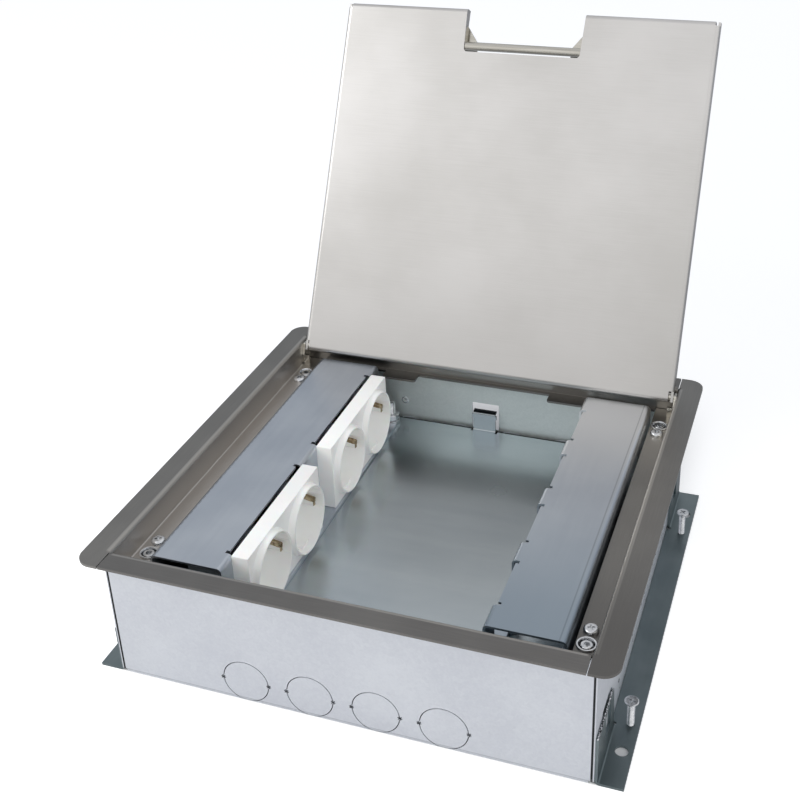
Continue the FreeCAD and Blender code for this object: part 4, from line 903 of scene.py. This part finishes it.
def make_well():
    """Collar, rim, wall and outside of one cup about the X axis, as rings of points."""
    angles = well_angles()
    flare = [(BLOCK_FACE - 0.1, COLLAR_RADIUS + 1.1), (BLOCK_FACE + 0.25, COLLAR_RADIUS + 0.85),
             (BLOCK_FACE + 0.8, COLLAR_RADIUS + 0.5), (BLOCK_FACE + 1.6, COLLAR_RADIUS + 0.25),
             (BLOCK_FACE + 2.6, COLLAR_RADIUS + 0.1), (rim_x - 0.45, COLLAR_RADIUS),
             (rim_x - 0.15, COLLAR_RADIUS - 0.15), (rim_x, COLLAR_RADIUS - 0.4),
             (rim_x, WELL_RADIUS + 0.45), (rim_x - 0.15, WELL_RADIUS + 0.15), (rim_x - 0.4, WELL_RADIUS)]
    depths = [CLIP_RECESS_TOP - 0.1, CLIP_RECESS_TOP + 0.1, 2.5, RAIL_TOP - 0.1, RAIL_TOP + 0.15, 8.0, 12.0,
              rim_x - well_floor_x]
    cup = [(well_floor_x, CUP_RADIUS), (BLOCK_REAR + 0.2, CUP_RADIUS)]
    rings = [[(x, radius) for _ in angles] for x, radius in flare]
    rings += [[(rim_x - depth, well_radius(angle, depth)) for angle in angles] for depth in depths]
    rings += [[(x, radius) for _ in angles] for x, radius in cup]
    points = []
    for ring in rings:
        for angle, (x, radius) in zip(angles, ring):
            turn = math.radians(angle)
            points.append((x * MM, radius * math.cos(turn) * MM, radius * math.sin(turn) * MM))
    count = len(angles)
    faces = []
    for ring in range(len(rings) - 1):
        for step in range(count):
            after = (step + 1) % count
            faces.append((ring * count + step, (ring + 1) * count + step, (ring + 1) * count + after,
                          ring * count + after))
    mesh = bpy.data.meshes.new("well")
    mesh.from_pydata(points, [], faces)
    return mesh


def rounded(mesh, width):
    """The mesh with its sharp edges rounded."""
    thing = on_scene("rounded", mesh)
    edge = thing.modifiers.new("edge", "BEVEL")
    edge.width = width * MM
    edge.segments = 2
    edge.angle_limit = math.radians(40)
    return evaluated(thing)


FACING_RIGHT = Matrix(((0, 0, 1, 0), (1, 0, 0, 0), (0, 1, 0, 0), (0, 0, 0, 1)))
PIN_HOLE_RADIUS = 2.6
PIN_OFFSET = 9.5
CLIP_SLOT_OFFSET = 18.0
CLIP_SLOT_HALF = (0.7, 4.2)
well = make_well()
well_centres = [(side * WELL_PITCH / 2, well_z) for side in (-1, 1)]
block_half = (block_high.y - block_low.y) / 2
block_outline = [(-block_half, block_low.z), (block_half, block_low.z), (block_half, block_high.z),
                 (-block_half, block_high.z)]
wells_open = [circle_points(21.0, centre, 64) for centre in well_centres]
block_plate = plate("block", [block_outline] + wells_open, BLOCK_REAR, BLOCK_FACE)
front_parts = [(rounded(block_plate, 0.5), FACING_RIGHT)]
floor_parts = []
plate_rear = extent("pin_plate_b")[0].x
for u, v in well_centres:
    front_parts.append((well, at(0, u, v)))
    outlines = [circle_points(20.9, (u, v), 64)]
    outlines += [circle_points(PIN_HOLE_RADIUS, (u, v + side * PIN_OFFSET), 24) for side in (-1, 1)]
    half_u, half_v = CLIP_SLOT_HALF
    for slot_u in (u - CLIP_SLOT_OFFSET, u + CLIP_SLOT_OFFSET):
        outlines.append([(slot_u - half_u, v - half_v), (slot_u + half_u, v - half_v),
                         (slot_u + half_u, v + half_v), (slot_u - half_u, v + half_v)])
    floor_parts.append((plate("well_floor", outlines, plate_rear, well_floor_x), FACING_RIGHT))
MODULES = (("a", -module_y), ("b", module_y))
for name, middle in MODULES:
    shift = at(0, middle)
    piece("moulded_front_" + name, [(mesh, shift @ place) for mesh, place in front_parts], white, "box",
          ["socket_front_" + name], smooth=55)
    piece("well_floors_" + name, [(mesh, shift @ place) for mesh, place in floor_parts], white, "box",
          ["pin_plate_" + name])


# ---- Socket housings ----
# Grey mouldings behind the fronts that hold the contact bars; only glimpses of them show at
# the carrier's ends, where their end faces are paler.
housing_grey, shader = finish("grey_housing_plastic", {"Metallic": 0.0, "IOR": 1.5})
tree = housing_grey.node_tree
moulded = noise(tree, 90.0, detail=3.0)
housing_end = extent("socket_housing_b")[1].y
end_face = axis(tree, "Y").size().between(housing_end - 0.9, housing_end - 0.3)
grey = blend_colour(moulded.between(0.3, 0.7), screen(58, 60, 63), screen(72, 74, 77))
feed(shader, "Base Color", blend_colour(end_face, grey, screen(138, 144, 150)))
feed(shader, "Roughness", 0.4 + moulded * 0.12)
feed(shader, "Normal", bump(tree, moulded, 0.02))
dress(["socket_housing_a", "socket_housing_b"], housing_grey)


# ---- Earth clips ----
# Nickel-plated brass strips at both sides of each well, folded back on themselves so that they
# spring against a plug's side contacts.  The contact bars in the housings have the same finish.
brass, shader = finish("nickelled_brass_strip", {"Metallic": 1.0})
tree = brass.node_tree
film = noise(tree, 400.0, detail=3.0)
feed(shader, "Base Color", blend_colour(film.between(0.3, 0.7), screen(128, 112, 88), screen(196, 180, 150)))
feed(shader, "Roughness", 0.22 + film * 0.15)
dress(["phase_bar_a", "phase_bar_b", "neutral_bar_a", "neutral_bar_b"], brass)


def strip(name, path, sheet, half_width):
    """A strip of sheet that follows a path of (x, y) points, in millimetres."""
    rims = []
    for index, (x, y) in enumerate(path):
        before = Vector(path[max(index - 1, 0)])
        after = Vector(path[min(index + 1, len(path) - 1)])
        ahead = (after - before).normalized()
        offset = Vector((-ahead.y, ahead.x)) * sheet / 2
        rims += [Vector((x, y)) + offset, Vector((x, y)) - offset]
    points = [Vector((rim.x, rim.y, z)) * MM for rim in rims for z in (-half_width, half_width)]
    faces = [(0, 1, 3, 2)]
    for a in range(0, 4 * (len(path) - 1), 4):
        b = a + 4
        faces += [(a, b, b + 1, a + 1), (a + 2, a + 3, b + 3, b + 2), (a, a + 2, b + 2, b),
                  (a + 1, b + 1, b + 3, a + 3)]
    last = 4 * (len(path) - 1)
    faces.append((last, last + 2, last + 3, last + 1))
    mesh = bpy.data.meshes.new(name)
    mesh.from_pydata(points, [], faces)
    return mesh


CLIP_SHEET = 0.5
CLIP_HALF_WIDTH = 1.0
CLIP_RISE = 1.6
HOOK_HEIGHT = 2.6
CLIP_FOOT_X = -77.0
MIRRORED_IN_Y = Matrix.Diagonal((1, -1, 1, 1))
clip_path = [(CLIP_FOOT_X, 18.2), (-73.0, 18.0), (-70.0, 17.3), (-67.0, 16.6), (-64.6, 16.1), (-63.0, 16.1),
             (-62.2, 16.7), (-62.3, 17.6), (-63.2, 18.3), (-66.0, 18.9), (-70.0, 19.4), (-72.5, 19.6)]
loop = strip("loop", clip_path, CLIP_SHEET, CLIP_HALF_WIDTH)
hook = bar_mesh("hook", (-63.4, 16.3, -HOOK_HEIGHT), (-62.9, 18.4, CLIP_RISE))
root = bar_mesh("root", (CLIP_FOOT_X, 17.8, -HOOK_HEIGHT), (-73.0, 18.4, CLIP_RISE + CLIP_HALF_WIDTH))
clip = merged("clip", [(loop, at(0, 0, CLIP_RISE)), (hook, STILL), (root, STILL)])
for name, middle in MODULES:
    clip_parts = []
    for u, v in well_centres:
        centre = at(0, middle + u, v)
        clip_parts += [(clip, centre), (clip, centre @ MIRRORED_IN_Y)]
    piece("earth_clips_" + name, clip_parts, brass, "box", ["earth_strap_" + name],
          smooth=50)


# ---- Lid ----
# A shallow tray of brushed stainless steel that takes the floor covering, hung on two pins.
# The grip bar, its ears, the pins and their lugs are of smooth drawn steel.
LID_SHADE_SPAN = (60, 190)
lid_steel, shader = finish("brushed_lid_steel", {"Metallic": 1.0})
tree = lid_steel.node_tree
marks = noise(tree, 2200.0, stretch=MARKS_ALONG_X, detail=2.0)
smudges = noise(tree, 11.0, detail=4.0)
tone = (marks * 0.2 + smudges * 0.8).between(0.3, 0.7)
face = blend_colour(tone, screen(200, 198, 195), screen(214, 212, 210))
# The face is painted darker towards its lower end by the hinge, as shade.
hinge_shade = 1 - axis(tree, "Z").between(*LID_SHADE_SPAN)
feed(shader, "Base Color", blend_colour(hinge_shade * 0.4, face, screen(160, 158, 156)))
feed(shader, "Roughness", 0.3 + smudges * 0.16)
feed(shader, "Normal", bump(tree, marks, 0.01))
dress(["lid_tray"], lid_steel)

bright, shader = finish("drawn_bright_steel", {"Metallic": 1.0})
tree = bright.node_tree
drawn = noise(tree, 1400.0, stretch=MARKS_ALONG_X, detail=2.0)
feed(shader, "Base Color", blend_colour(drawn.between(0.3, 0.7), screen(186, 182, 172),
                                        screen(206, 203, 195)))
feed(shader, "Roughness", 0.14 + drawn * 0.08)
dress(["grip_bar", "grip_ears", "hinge_pins", "hinge_lugs"], bright)
